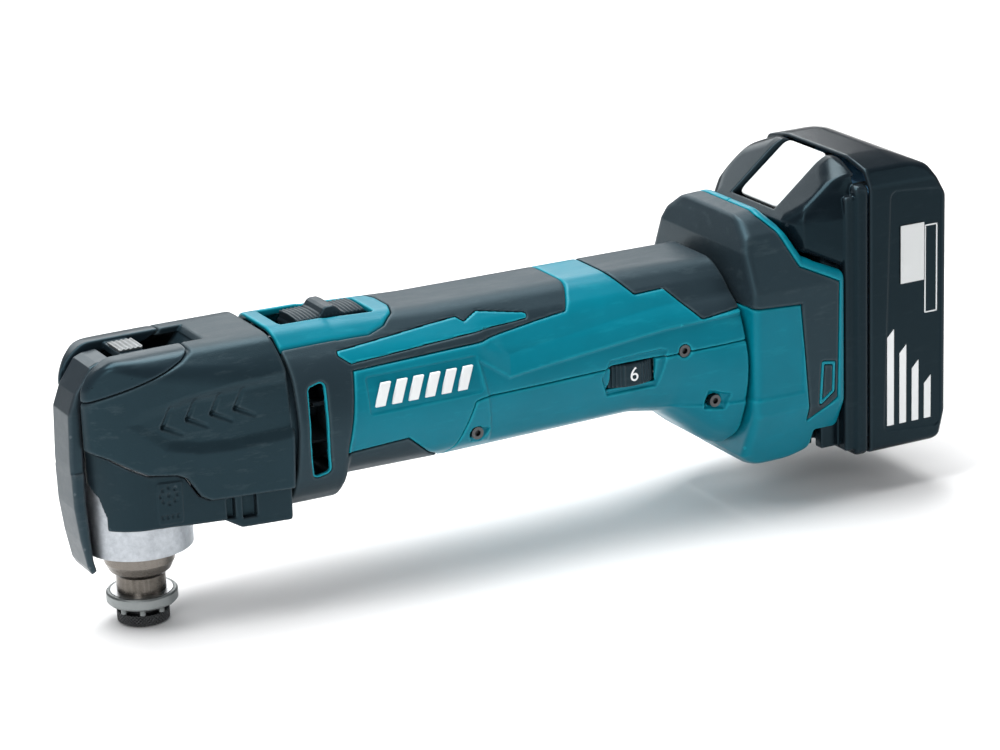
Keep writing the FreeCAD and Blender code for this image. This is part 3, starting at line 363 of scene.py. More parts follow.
class Nodes:
    """Short names for building one material's node tree."""

    def __init__(self, name):
        self.made = material(name)
        self.tree = self.made.node_tree
        self.shader = self.tree.nodes["Principled BSDF"]
        self.place = self.tree.nodes.new("ShaderNodeTexCoord").outputs["Object"]

    def add(self, kind, **settings):
        node = self.tree.nodes.new(kind)
        for key, value in settings.items():
            setattr(node, key, value)
        return node

    def link(self, a, b):
        self.tree.links.new(a, b)

    def stretched(self, scale):
        node = self.add("ShaderNodeMapping")
        node.inputs["Scale"].default_value = scale
        self.link(self.place, node.inputs["Vector"])
        return node.outputs["Vector"]

    def noise(self, scale, detail=3.0, rough=0.55, source=None):
        node = self.add("ShaderNodeTexNoise")
        node.inputs["Scale"].default_value = scale
        node.inputs["Detail"].default_value = detail
        node.inputs["Roughness"].default_value = rough
        self.link(source or self.place, node.inputs["Vector"])
        return node.outputs["Fac"]

    def cells(self, scale, source=None):
        node = self.add("ShaderNodeTexVoronoi")
        node.inputs["Scale"].default_value = scale
        self.link(source or self.place, node.inputs["Vector"])
        return node.outputs["Distance"]

    def ramp(self, value, low, high, start=0.0, end=1.0):
        node = self.add("ShaderNodeMapRange")
        node.inputs["From Min"].default_value = low
        node.inputs["From Max"].default_value = high
        node.inputs["To Min"].default_value = start
        node.inputs["To Max"].default_value = end
        self.link(value, node.inputs["Value"])
        return node.outputs["Result"]

    def mixed(self, factor, first, second):
        node = self.add("ShaderNodeMix", data_type="RGBA")
        self.link(factor, node.inputs["Factor"])
        for socket, value in ((node.inputs["A"], first), (node.inputs["B"], second)):
            if isinstance(value, tuple):
                socket.default_value = (*value, 1.0)
            else:
                self.link(value, socket)
        return node.outputs["Result"]

    def edges(self, low=0.505, high=0.56):
        """How strongly a spot is a worn outer edge."""
        node = self.add("ShaderNodeNewGeometry")
        return self.ramp(node.outputs["Pointiness"], low, high)

    def bumps(self, *pairs):
        """Chains height fields into the shader's normal: (height, strength, distance in mm)."""
        before = None
        for height, strength, distance in pairs:
            node = self.add("ShaderNodeBump")
            node.inputs["Strength"].default_value = strength
            node.inputs["Distance"].default_value = distance * MM
            self.link(height, node.inputs["Height"])
            if before:
                self.link(before, node.inputs["Normal"])
            before = node.outputs["Normal"]
        self.link(before, self.shader.inputs["Normal"])

    def finish(self, color, roughness, metallic=0.0, specular=0.5, sheen_tint=(1.0, 1.0, 1.0)):
        self.link(color, self.shader.inputs["Base Color"])
        self.link(roughness, self.shader.inputs["Roughness"])
        self.shader.inputs["Metallic"].default_value = metallic
        self.shader.inputs["Specular IOR Level"].default_value = specular
        self.shader.inputs["Specular Tint"].default_value = (*sheen_tint, 1.0)
        return self.made


COOL = (0.42, 0.82, 1.0)
NEUTRAL = (1.0, 1.0, 1.0)


def moulded(name, color, worn, roughness, grain=0.035, grain_scale=2600.0, specular=0.5, scuffs=0.12,
            tint=NEUTRAL):
    """Moulded plastic or rubber with a fine spark-eroded grain, rubbed edges and faint scuffs."""
    n = Nodes(name)
    broad = n.noise(38.0, 4.0)
    fine = n.noise(grain_scale, 2.0)
    speck = n.cells(grain_scale * 0.8)
    scuff = n.noise(160.0, 5.0, 0.7, n.stretched((0.35, 1.0, 1.6)))
    dusty = n.ramp(scuff, 0.56, 0.78, 0.0, scuffs)
    darker, lighter = (tuple(c * factor for c in color) for factor in (0.92, 1.08))
    patchy = n.mixed(n.ramp(broad, 0.3, 0.7), darker, lighter)
    tone = n.mixed(dusty, patchy, worn)
    tone = n.mixed(n.ramp(n.edges(), 0.0, 1.0, 0.0, 0.45), tone, worn)
    rough = n.ramp(scuff, 0.25, 0.8, roughness - 0.05, roughness + 0.09)
    n.bumps((fine, 0.5, grain), (speck, 0.35, grain), (broad, 0.25, 0.12))
    return n.finish(tone, rough, 0.0, specular, tint)


def metal(name, color, dark, roughness, grain=(1.0, 1.0, 14.0), grain_scale=900.0, depth=0.02,
          tarnish=0.25):
    """Machined metal with tool marks along one direction and slight tarnish."""
    n = Nodes(name)
    marks = n.noise(grain_scale, 3.0, 0.6, n.stretched(grain))
    stain = n.noise(140.0, 5.0, 0.65)
    tone = n.mixed(n.ramp(stain, 0.42, 0.75, 0.0, tarnish + 0.35), color, dark)
    rubbed = tuple(min(1.0, c * 1.5 + 0.05) for c in color)
    tone = n.mixed(n.ramp(n.edges(), 0.0, 1.0, 0.0, 0.5), tone, rubbed)
    rough = n.ramp(marks, 0.3, 0.7, roughness - 0.06, roughness + 0.08)
    n.bumps((marks, 0.5, depth), (stain, 0.2, 0.05))
    return n.finish(tone, rough, 1.0)


def cast(name, color, dark):
    """Die-cast aluminium: a bead-blasted, slightly mottled skin."""
    n = Nodes(name)
    grit = n.noise(2200.0, 4.0, 0.7)
    mottle = n.noise(260.0, 5.0, 0.7)
    tone = n.mixed(n.ramp(mottle, 0.3, 0.72), color, dark)
    n.bumps((grit, 0.7, 0.09), (mottle, 0.3, 0.08))
    return n.finish(tone, n.ramp(grit, 0.3, 0.7, 0.36, 0.6), 1.0)


RUBBER = moulded("rubber_skin", (0.013, 0.021, 0.027), (0.07, 0.095, 0.105),
                 0.42, 0.05, 2300.0, 0.30, 0.3, COOL)
HEAD_RUBBER = moulded("head_rubber", (0.008, 0.015, 0.020), (0.07, 0.09, 0.1),
                      0.40, 0.05, 2300.0, 0.32, 0.3, COOL)
TEAL = moulded("teal_plastic", (0.0, 0.140, 0.195), (0.02, 0.40, 0.48),
               0.33, 0.022, 3000.0, 0.24, 0.14, COOL)
BLACK = moulded("black_plastic", (0.008, 0.013, 0.017), (0.05, 0.065, 0.075),
                0.34, 0.03, 2600.0, 0.26, 0.2, COOL)
GUARD = moulded("guard_plastic", (0.008, 0.014, 0.019), (0.05, 0.075, 0.09),
                0.30, 0.025, 2600.0, 0.30, 0.15, COOL)
PACK = moulded("pack_plastic", (0.004, 0.007, 0.010), (0.05, 0.065, 0.075),
               0.20, 0.03, 2600.0, 0.19, 0.10, COOL)
LEVER = moulded("lever_coat", (0.014, 0.019, 0.024), (0.12, 0.13, 0.14),
                0.32, 0.03, 2200.0, 0.34, 0.2, COOL)
WHITE = moulded("white_plastic", (0.58, 0.61, 0.61), (0.7, 0.7, 0.7), 0.34, 0.012, 2800.0, 0.5, 0.2)
MARK = moulded("pale_print", (0.70, 0.73, 0.74), (0.85, 0.85, 0.85), 0.45, 0.006, 3000.0, 0.4, 0.2)
CASTING = cast("cast_aluminium", (0.52, 0.55, 0.58), (0.34, 0.36, 0.39))
BRONZED = metal("browned_steel", (0.125, 0.112, 0.098), (0.035, 0.032, 0.028), 0.27)
NICKEL = metal("nickel_steel", (0.20, 0.215, 0.215), (0.08, 0.09, 0.09), 0.46)
DARKSTEEL = metal("black_steel", (0.05, 0.052, 0.054), (0.015, 0.015, 0.016), 0.36)
BRIGHT = metal("bright_steel", (0.42, 0.43, 0.44), (0.22, 0.23, 0.24), 0.32)
BRUSHED = metal("brushed_steel", (0.24, 0.255, 0.26), (0.12, 0.13, 0.13), 0.5, (1.0, 9.0, 1.0),
                1400.0, 0.03)
BRASS = metal("brass", (0.74, 0.56, 0.26), (0.42, 0.28, 0.12), 0.3)
COPPER = metal("copper", (0.72, 0.36, 0.22), (0.4, 0.18, 0.1), 0.3)
MAGNET = moulded("ceramic_magnet", (0.05, 0.05, 0.055), (0.12, 0.12, 0.12), 0.6, 0.05)
BOARD = moulded("circuit_board", (0.02, 0.16, 0.07), (0.1, 0.3, 0.18), 0.4, 0.03)
WRAP = moulded("cell_wrap", (0.05, 0.22, 0.42), (0.2, 0.4, 0.6), 0.35, 0.02)

lens_nodes = Nodes("clear_lens")
lens_nodes.bumps((lens_nodes.noise(900.0), 0.3, 0.05))
CLEAR = lens_nodes.finish(
    lens_nodes.mixed(lens_nodes.noise(60.0), (0.9, 0.94, 0.95), (0.98, 0.99, 1.0)),
    lens_nodes.ramp(lens_nodes.noise(300.0), 0.3, 0.7, 0.05, 0.15))
CLEAR.node_tree.nodes["Principled BSDF"].inputs["Transmission Weight"].default_value = 0.9

SLOT_LOOKS = {
    "cast_aluminium": CASTING, "black_rubber": RUBBER, "black_plastic": BLACK, "teal_plastic": TEAL,
    "bright_steel": BRIGHT, "bearing_steel": BRIGHT, "ground_steel": BRONZED, "nickel_steel": NICKEL,
    "forged_steel": DARKSTEEL, "black_steel": DARKSTEEL, "lever_metal": LEVER, "magnet": MAGNET,
    "motor_core": DARKSTEEL, "copper": COPPER, "brass": BRASS, "carbon": MAGNET, "circuit_board": BOARD,
    "clear_lens": CLEAR, "battery_plastic": PACK, "cell_wrap": WRAP, "white_label": WHITE,
    "white_plastic": WHITE,
}
NODE_SLOT = {s["node"]: s["material_slot"] for s in frame["record"]["subparts"]}
for node, obj in NODES.items():
    look = SLOT_LOOKS[NODE_SLOT[node]]
    if obj.data.materials:
        for number in range(len(obj.data.materials)):
            obj.data.materials[number] = look
    else:
        obj.data.materials.append(look)


def dress(obj, look, body, *stands_for, slot=None):
    """Gives a new piece its finish, the body it moves with and the CAD nodes it stands for."""
    obj.data.materials.clear()
    obj.data.materials.append(look)
    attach(obj, body)
    if stands_for:
        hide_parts(*stands_for)
    return obj


# ------------------------------------------------------------------ the grip
STATION_X = (40.0, 76.0, 110.0, 150.0, 190.0, 205.0, 214.0, 223.0, 236.0)
STATION_TOP = (95.5, 94.9, 93.1, 92.8, 92.5, 92.3, 92.1, 91.9, 91.7)
STATION_BOTTOM = (36.6, 36.4, 36.1, 36.7, 37.5, 35.1, 28.1, 20.7, 15.1)
NOSE_BOTTOM = 28.8
STATION_HALF = (30.5, 31.1, 31.5, 31.7, 32.3, 33.1, 34.1, 35.3, 36.3)


def along_grip(x, values):
    """A station table as a smooth curve in X."""
    fine = np.arange(30.0, 246.0, 0.5)
    curve = np.interp(fine, STATION_X, values)
    kernel = np.hanning(17)
    padded = np.pad(curve, 8, mode="edge")
    curve = np.convolve(padded, kernel / kernel.sum(), mode="valid")
    return np.interp(x, fine, curve).astype(np.float32)


def faceted_tube(g, top, bottom, half):
    """Inside of the grip's section: crown, shoulders, sides, chines and keel, edges softened."""
    height = top - bottom
    corners = [
        (0.0, top), (0.40 * half, top), (0.86 * half, top - 0.20 * height), (half, top - 0.42 * height),
        (half, top - 0.62 * height), (0.80 * half, bottom + 0.13 * height), (0.42 * half, bottom),
        (0.0, bottom),
    ]
    return half_planes(corners, np.abs(g.y), g.z, 3.0)


def grip_form(g):
    top = along_grip(g.x, STATION_TOP)
    bottom = along_grip(g.x, STATION_BOTTOM)
    half = along_grip(g.x, STATION_HALF)
    tube = faceted_tube(g, top, bottom, half)
    nose = faceted_tube(g, top, NOSE_BOTTOM, half - 0.2)
    nose_end = g.x - (71.0 + 0.18 * (36.0 - g.z).clip(0, 8))
    return blend_min(tube, blend_max(nose, nose_end, soft=3.0), soft=1.6)


grip = Grid((48.0, -38.4, 12.0), (234.4, 38.4, 97.0), 0.5)
GRIP_ENDS = [(45.0, 108.0), (49.4, 92.0), (50.4, 80.0), (50.8, 62.0), (50.4, 44.0), (49.8, 20.0),
             (49.6, 5.0), (229.2, 5.0), (230.6, 30.0), (231.2, 58.0), (230.0, 80.0), (227.2, 96.0),
             (226.4, 108.0)]
LOWER_COVER = [(110.2, 20.0), (111.3, 36.0), (113.4, 40.6), (119.5, 60.5), (123.0, 61.3), (146.0, 61.6),
               (233.0, 64.1), (250.0, 64.5), (250.0, 5.0), (110.2, 5.0)]
FRONT_SKIN = [(30.0, 115.0), (165.2, 115.0), (166.3, 91.7), (161.5, 84.5), (148.0, 83.2), (125.0, 80.5),
              (73.5, 79.5), (70.0, 52.0), (70.0, 49.4), (93.8, 50.9), (104.6, 41.6), (111.0, 38.0),
              (110.0, 10.0), (30.0, 10.0)]
REAR_SKIN = [(183.0, 115.0), (184.4, 92.3), (190.7, 85.4), (202.9, 85.7), (214.0, 74.2), (250.0, 77.4),
             (250.0, 115.0)]
VENT = [(55.8, 76.4), (61.6, 77.8), (61.3, 68.0), (61.4, 58.0), (62.0, 51.0), (63.2, 44.2), (57.6, 43.0),
        (56.2, 50.0), (55.3, 58.0), (55.3, 68.0)]
INLAY = [(67.9, 86.0), (73.2, 81.9), (140.5, 84.4), (146.6, 85.6), (127.6, 89.2), (121.3, 87.0),
         (119.0, 88.7)]
NAME_RECESS = [(77.3, 76.9), (121.1, 76.9), (122.2, 63.8), (77.8, 63.3)]

grip_outer = grip_form(grip)
# facets pressed into the sides: the long ridge over the dial, and the step down to the lower cover
ridge = side(grip, [(133.4, 67.3), (145.5, 68.7), (198.0, 73.5), (231.0, 74.6), (240.0, 58.0),
                    (240.0, 40.0), (128.0, 40.0), (121.5, 75.7)])
upright = smooth_step(np.abs(grip.y), 20.0, 26.0)
above = side(grip, [(133.4, 67.3), (145.5, 68.7), (198.0, 73.5), (240.0, 74.8), (240.0, 110.0),
                    (121.5, 110.0), (121.5, 75.7)])
grip_outer = grip_outer + 0.8 * smooth_step(-ridge, -0.2, 1.3) * upright
grip_outer = grip_outer + 0.28 * np.clip(-above, 0.0, 7.0) * smooth_step(grip.x, 120.0, 134.0) * upright
POCKETS = ([(119.0, 49.8), (127.0, 48.6), (124.6, 42.4), (120.0, 43.4)],
           [(215.6, 46.8), (224.6, 44.4), (222.6, 38.0), (215.0, 38.6)])
POCKET_DEPTH = 1.5
for outline in POCKETS:
    grip_outer = grip_outer + POCKET_DEPTH * smooth_step(-side(grip, outline, 0.8), -0.2, 0.9) * upright
DIAL_FRAME = [(171.0, 59.0), (174.4, 51.2), (194.9, 51.4), (198.4, 65.6), (195.6, 66.6), (174.6, 65.6)]
frame_dip = side(grip, DIAL_FRAME, 0.6)
grip_outer = grip_outer + 1.2 * smooth_step(-frame_dip, -0.2, 0.8) * smooth_step(-grip.y, 20.0, 26.0)
recess = side(grip, NAME_RECESS, 1.2)
grip_outer = grip_outer + 0.45 * smooth_step(-recess, -0.3, 0.5) * upright
grip_outer = grip.full(grip_outer)
ends = side(grip, GRIP_ENDS)
shell = blend_max(layer(grip_outer, 0.0, WALL), ends, soft=1.2)

lower_zone = side(grip, LOWER_COVER, 1.2)
front_zone = side(grip, FRONT_SKIN, 1.2)
rear_zone = side(grip, REAR_SKIN, 1.2)
vent = side(grip, VENT, 1.5)
vent = np.maximum(vent, 18.0 - np.abs(grip.y))
PLATE_HALF = [(20.0, -19.5), (84.0, -18.9), (91.0, -16.6), (96.4, -12.0), (98.8, -5.0)]
plate_zone = plan(grip, mirrored(PLATE_HALF), 3.0)
plate_zone = np.maximum(plate_zone, 84.0 - grip.z)
window = cuboid(grip, (54.1, -9.6, 70.0), (90.9, 9.6, 120.0), soft=2.0)
dial_slot = cuboid(grip, (175.2, -60.0, 53.7), (193.9, -24.0, 63.1), soft=1.0)
dial_room = np.hypot(grip.x - 184.5, grip.y + 16.2) - 15.35
dial_slot = np.minimum(dial_slot, np.maximum(dial_room, np.abs(grip.z - 58.4) - 4.75))


def hole(x, z, radius, face):
    """A round recess in both sides, down to face from mid-plane."""
    distance = np.hypot(grip.x - x, grip.z - z) - radius
    return np.maximum(distance, face - np.abs(grip.y))


screw_holes = np.minimum(hole(121.4, 47.2, 2.55, 22.0), hole(218.6, 42.0, 2.55, 22.0))
side_screw = hole(205.5, 63.9, 2.5, 26.0)
notch = cuboid(grip, (221.0, -60.0, 63.2), (231.0, 60.0, 67.0), soft=1.4)
notch = np.maximum(notch, 33.6 - np.abs(grip.y))

# the skins stand slightly proud, so their rounded edges catch the light
skin_field = blend_max(shell, front_zone + GAP, -(plate_zone - GAP), -(vent - 0.75), soft=0.9)
skin_field = blend_max(skin_field, -(lower_zone - GAP), soft=0.9)
inlay = side(grip, INLAY, 0.9)
front_field = blend_max(skin_field, -np.maximum(inlay - 0.15, -(grip_outer + 1.0)), soft=0.5)
front_skin = surface("front_grip_skin_shell", grip, front_field)
dress(front_skin, RUBBER, "housing", "front_grip_skin")
inlay_field = blend_max(layer(grip_outer, -0.05, 0.85), inlay, soft=0.4)
inlay_field = np.maximum(inlay_field, 12.0 - np.abs(grip.y))
dress(surface("inlay_strips", grip, inlay_field), TEAL, "housing", "grip_inlays")
rear_field = blend_max(shell, rear_zone + GAP, -(lower_zone - GAP), soft=0.9)
dress(surface("rear_grip_skin_shell", grip, rear_field), RUBBER, "housing", "rear_grip_skin")
plate_field = blend_max(shell, plate_zone + GAP, -window, soft=0.9)
dress(surface("switch_plate_shell", grip, plate_field), TEAL, "housing", "switch_plate")
skins = join(front_zone, rear_zone, plate_zone)
open_zone = GAP - skins
body_field = blend_max(shell, np.maximum(open_zone, -(lower_zone - GAP)), soft=0.8)
body_field = carved(body_field, dial_slot, screw_holes, side_screw, notch, soft=0.7)
motor_shell = surface("motor_housing_shell", grip, body_field)
dress(motor_shell, TEAL, "housing", "motor_housing")
rim_field = meet(layer(grip_outer, 0.7, 2.2), vent - 1.0, 0.1 - vent)
dress(surface("vent_rim", grip, blend_max(rim_field, ends, soft=0.5)), TEAL, "housing", slot="teal_plastic")
spigot = meet(layer(grip_outer, 2.75, 4.0), grip.x - 56.0, 48.4 - grip.x)
spigot = np.maximum(spigot, np.minimum(11.2 - np.abs(grip.y), grip.z - 80.0))
dress(surface("front_spigot", grip, spigot), BLACK, "housing", slot="black_plastic")
lower_field = blend_max(shell, lower_zone + GAP, soft=0.8)
lower_field = carved(lower_field, dial_slot, screw_holes, side_screw, notch, soft=0.7)
dress(surface("lower_cover_shell", grip, lower_field), TEAL, "housing", "lower_cover")

# ------------------------------------------------------------------ the head
head = Grid((-24.0, -32.0, 26.8), (51.2, 32.0, 97.6), 0.42)
head_side = np.abs(head.y)
HEAD_PLAN = [(31.4, 60.0), (21.4, -6.0), (12.4, -22.4), (0.0, -22.4)]
HEAD_PROFILE = [(-22.4, 50.0), (-22.4, 84.5), (-17.4, 91.6), (-11.0, 95.8), (0.0, 96.3), (60.0, 95.5)]
HEAD_CROWN = [(0.0, 96.6), (16.5, 96.6), (27.5, 86.0), (31.4, 66.0), (31.0, 20.0)]
head_outer = blend_max(half_planes(HEAD_PLAN, head_side, head.x, 4.5),
                       half_planes(HEAD_PROFILE, head.x, head.z, 1.4),
                       half_planes(HEAD_CROWN, head_side, head.z, 4.0), soft=2.6)
HEAD_BACK = [(44.6, 112.0), (46.6, 96.0), (48.9, 80.0), (49.7, 62.0), (48.8, 44.0), (48.2, 10.0),
             (-70.0, 10.0), (-70.0, 112.0)]
COVER = [(-40.0, 64.2), (-20.5, 63.0), (-15.0, 60.6), (-8.0, 56.4), (-2.5, 53.6), (7.0, 52.6), (10.5, 50.8),
         (15.0, 43.6), (18.6, 41.6), (60.0, 41.4), (60.0, 120.0), (-40.0, 120.0)]
CHEEK = [(-40.0, 73.6), (-23.0, 80.2), (-6.3, 85.6), (12.2, 92.4), (16.4, 94.6), (17.2, 97.0),
         (14.0, 120.0), (-40.0, 120.0)]
SCOOP = [(-9.5, 72.6), (-4.0, 77.4), (12.0, 81.0), (30.7, 83.4), (56.0, 84.6), (56.0, 61.0), (26.5, 58.8),
         (15.3, 59.3), (3.6, 62.0)]
CHEVRON_TIPS = [(3.4, 70.5), (12.4, 72.0), (21.0, 72.9), (29.3, 73.5)]
CHEVRON_ARMS = [(3.0, 6.6), (6.6, -3.4)]

cheek_side = smooth_step(head_side, 10.0, 14.0)
scoop = side(head, SCOOP)
scoop_depth = 0.5 + 1.2 * smooth_step(head.x, -2.0, 14.0)
head_outer = head_outer + scoop_depth * smooth_step(-scoop, -0.4, 4.4) * cheek_side
for tip_x, tip_z in CHEVRON_TIPS:
    for arm_x, arm_z in CHEVRON_ARMS:
        length = math.hypot(arm_x, arm_z)
        along = ((head.x - tip_x) * arm_x + (head.z - tip_z) * arm_z) / length
        away = np.abs((head.x - tip_x) * arm_z - (head.z - tip_z) * arm_x) / length
        beyond = meet(-along, along - length, 0.0)
        stroke = np.hypot(away, beyond)
        fade = 1.0 - 0.65 * np.clip(along / length, 0.0, 1.0)
        head_outer = head_outer + 0.95 * fade * (1.0 - smooth_step(stroke, 0.1, 1.15)) * cheek_side
head_outer = head.full(head_outer)
head_back = side(head, HEAD_BACK)
cover = side(head, COVER, 0.0)
cheek = side(head, CHEEK, 0.0)
TOP_CHANNEL = [(-60.0, 78.4), (5.2, 78.4), (8.0, 87.2), (18.6, 87.6), (26.8, 97.2), (27.4, 130.0),
               (-60.0, 130.0)]
CHANNEL_WALL = [(-60.0, 75.9), (7.4, 75.9), (10.0, 84.6), (19.8, 85.0), (29.6, 96.6), (30.4, 130.0),
                (-60.0, 130.0)]
channel = blend_max(side(head, TOP_CHANNEL), head_side - 9.4, soft=0.8)
lever_way = np.maximum(head.x + 19.7, head_side - 9.4)
pin_hole = np.maximum(np.hypot(head.x + 12.0, head.z - 86.6) - 1.62, head_side - 13.2)
axis_distance = np.hypot(head.x, head.y)
casting_room = np.maximum(axis_distance - 19.7, head.z - 77.8)
casting_room = np.minimum(casting_room, np.maximum(axis_distance - 6.8, head.z - 82.0))
snout_room = np.maximum(np.hypot(head.y, head.z - 64.0) - 20.8, 8.8 - head.x)
casting_room = np.minimum(casting_room, snout_room)
walls = np.maximum(side(head, CHANNEL_WALL), head_side - 11.4)
thin = layer(head_outer, 0.0, WALL)
lined = np.minimum(thin, meet(head_outer + 0.4, walls, -(side(head, TOP_CHANNEL) - 0.3)))
lever_cheeks = meet(head_outer + 0.4, head_side - 11.6, 9.4 - head_side, head.x + 11.5, 60.0 - head.z)
lined = np.minimum(lined, lever_cheeks)
head_shell = blend_max(lined, head_back, soft=1.4)
cover_field = blend_max(head_shell, cover + GAP, -(cheek - GAP), soft=0.9)
cover_field = carved(cover_field, channel, lever_way, casting_room, pin_hole, soft=0.7)
dress(surface("head_cover_shell", head, cover_field), HEAD_RUBBER, "housing", "head_cover")

stop = Grid((-5.0, -6.1, 94.0), (5.2, 6.1, 96.0), 0.15)
stop_top = stop.z - 95.42 + 0.2 * np.cos(2.0 * math.pi * stop.x / 1.8)
stop_field = blend_max(cuboid(stop, (-4.35, -5.45, 94.45), (4.55, 5.45, 96.0), 0.4), stop_top, soft=0.15)
dress(surface("lever_stop_ribs", stop, stop_field), BRUSHED, "housing", "lever_stop")

bridge = cuboid(head, (-4.4, -11.4, 91.6), (4.6, 11.4, 94.4))
thick = layer(head_outer, 0.0, 4.2)
cheek_pads = np.maximum(cuboid(head, (-19.4, -22.0, 79.0), (-5.0, 22.0, 93.6)), 9.4 - head_side)
cheek_pads = np.maximum(cheek_pads, head_outer + 0.3)
guard_field = blend_max(np.minimum(thick, cheek_pads), cheek + GAP, soft=1.0)
guard_field = carved(guard_field, channel, lever_way, casting_room, pin_hole, soft=0.9)
guard_field = np.minimum(guard_field, bridge)
dress(surface("lever_guard_shell", head, guard_field), GUARD, "housing", "lever_guard")

LOWER_SIDE = [(-40.0, 33.6), (4.0, 33.4), (14.0, 32.9), (24.0, 32.6), (30.0, 29.0), (60.0, 28.8),
              (60.0, 66.0), (-40.0, 66.0)]
wide = np.maximum(head_side - (20.9 + (head.x + 1.5) * 0.109), -head.x - 1.5)
lower_outer = np.minimum(axis_distance - 21.0, wide)
RING_CENTRE = (4.2, 45.6)
patch = side(head, [(-0.4, 35.2), (8.8, 34.8), (9.2, 50.2), (0.0, 50.4)], 1.0)
near_side = smooth_step(-head.y, 4.0, 8.0)
lower_outer = lower_outer + near_side * 0.3 * smooth_step(patch, -0.2, 0.2)
DOT_RING = 3.0
dots = [RING_CENTRE] + [(1.6 + 1.8 * n, 37.8) for n in range(4)]
for number in range(8):
    turn = math.radians(45.0 * number)
    dots.append((RING_CENTRE[0] + DOT_RING * math.cos(turn), RING_CENTRE[1] + DOT_RING * math.sin(turn)))
for dot_x, dot_z in dots:
    dot = np.hypot(head.x - dot_x, head.z - dot_z)
    lower_outer = lower_outer + near_side * 0.45 * (1.0 - smooth_step(dot, 0.35, 0.85))
lower_sides = side(head, LOWER_SIDE, 1.2)
cavity = meet(lower_outer + 1.6, lower_sides + 2.2, 12.0 - head.x)
slot_backing = np.maximum(cuboid(head, (22.8, -60.0, 30.4), (37.2, 60.0, 43.0)), -(lower_outer + 4.6))
cavity = np.maximum(cavity, -slot_backing)
cavity = np.minimum(cavity, axis_distance - 19.72)
ARCH = [(0.0, 50.0), (6.0, 49.4), (10.4, 45.6), (12.6, 39.0), (12.8, 20.0), (0.0, 20.0)]
arch = np.maximum(section(head, ARCH, 1.0), head.x + 5.0)
air_slots = np.minimum(cuboid(head, (24.6, -60.0, 33.2), (27.6, 60.0, 40.6)),
                       cuboid(head, (30.4, -60.0, 32.6), (35.4, 60.0, 40.6)))
air_slots = np.maximum(air_slots, -(lower_outer + 2.6))
lens_hole = cuboid(head, (31.0, -7.0, 20.0), (41.0, 7.0, 40.0))
lower_head = blend_max(lower_outer, lower_sides, head_back, soft=1.2)
lower_head = np.maximum(lower_head, -cavity)
lower_head = blend_max(lower_head, -(cover - GAP), soft=0.7)
lower_head = carved(lower_head, arch, lens_hole, air_slots, lever_way, casting_room, soft=0.7)
dress(surface("lower_head_shell", head, lower_head), BLACK, "housing", "lower_head_cover")

# the clamp lever, a thick curved blade that wraps under the nose
lever = Grid((-26.6, -9.4, 16.0), (-3.6, 9.4, 95.2), 0.34)
LEVER_SIDE = [(-25.2, 76.0), (-25.9, 58.0), (-25.6, 42.0), (-24.2, 30.0), (-22.2, 19.5), (-20.9, 17.0),
              (-19.0, 18.0), (-19.9, 22.0), (-20.5, 30.0), (-21.2, 44.0), (-20.6, 62.0), (-20.3, 78.0),
              (-18.0, 79.2), (-15.2, 80.0), (-12.0, 79.6), (-7.4, 81.4), (-4.8, 85.6), (-5.4, 90.4),
              (-8.4, 93.4), (-13.4, 93.0), (-16.4, 91.8), (-22.4, 83.4)]
lever_width = 8.1 + 0.55 * smooth_step(54.9 - lever.z, -0.3, 0.3)
lever_field = blend_max(side(lever, LEVER_SIDE), np.abs(lever.y) - lever_width, soft=1.6)
lever_bore = np.hypot(lever.x + 12.0, lever.z - 86.6) - 1.6
lever_field = np.maximum(lever_field, -lever_bore)
dress(surface("clamp_lever_blade", lever, lever_field), LEVER, "clamp_lever", "clamp_lever")

# ------------------------------------------------------------------ rear housing
rear = Grid((231.2, -38.2, 6.6), (273.2, 38.2, 109.4), 0.5)
REAR_SIDE = [(232.0, 16.0), (241.0, 8.2), (248.0, 7.2), (262.0, 14.0), (272.3, 21.0), (272.3, 84.0),
             (256.4, 91.2), (250.4, 103.0), (246.0, 108.4), (235.6, 107.4), (232.0, 96.0)]
REAR_SECTION = [(0.0, 110.6), (16.0, 110.6), (29.0, 101.0), (37.4, 82.0), (37.4, 34.0), (27.0, 12.0),
                (14.0, 6.4), (0.0, 6.4), (-20.0, 6.4), (-20.0, 110.6)]
REAR_SKIN_SIDE = [(225.0, 76.4), (252.8, 74.6), (256.5, 28.1), (268.4, 36.0), (269.4, 81.0), (253.8, 88.4),
                  (247.6, 101.4), (243.4, 106.4), (243.0, 125.0), (225.0, 125.0)]
BADGE = [(261.5, 51.2), (267.6, 50.2), (267.2, 38.4), (260.2, 33.4)]
rear_outer = blend_max(side(rear, REAR_SIDE, 2.2), section(rear, REAR_SECTION, 5.0), soft=3.4)
step_band = side(rear, [(225.0, 77.6), (254.0, 75.8), (254.0, 40.0), (225.0, 40.0)])
rear_outer = rear_outer + 0.5 * smooth_step(-step_band, 0.0, 1.5) * smooth_step(np.abs(rear.y), 26.0, 32.0)
rear_outer = rear.full(rear_outer)
bay = cuboid(rear, (261.2, -31.6, 13.4), (300.0, 31.6, 140.0))
bay_block = cuboid(rear, (258.4, -34.0, 10.0), (280.0, 34.0, 87.6))
front_way = np.maximum(np.hypot(rear.y, rear.z - 58.0) - 28.0, rear.x - 240.0)
cable_way = cuboid(rear, (255.0, -7.0, 30.0), (262.0, 7.0, 60.0))
terminal_way = cuboid(rear, (255.0, -26.4, 24.4), (262.0, 26.4, 86.6))
latch_way = cuboid(rear, (257.4, -6.4, 88.4), (263.0, 6.4, 120.0))
rear_shell = np.minimum(layer(rear_outer, 0.0, WALL), np.maximum(rear_outer, bay_block))
rear_shell = carved(rear_shell, bay, front_way, cable_way, terminal_way, latch_way, soft=0.8)
rear_skin_zone = side(rear, REAR_SKIN_SIDE)
skin_depth = rear_outer + 1.3
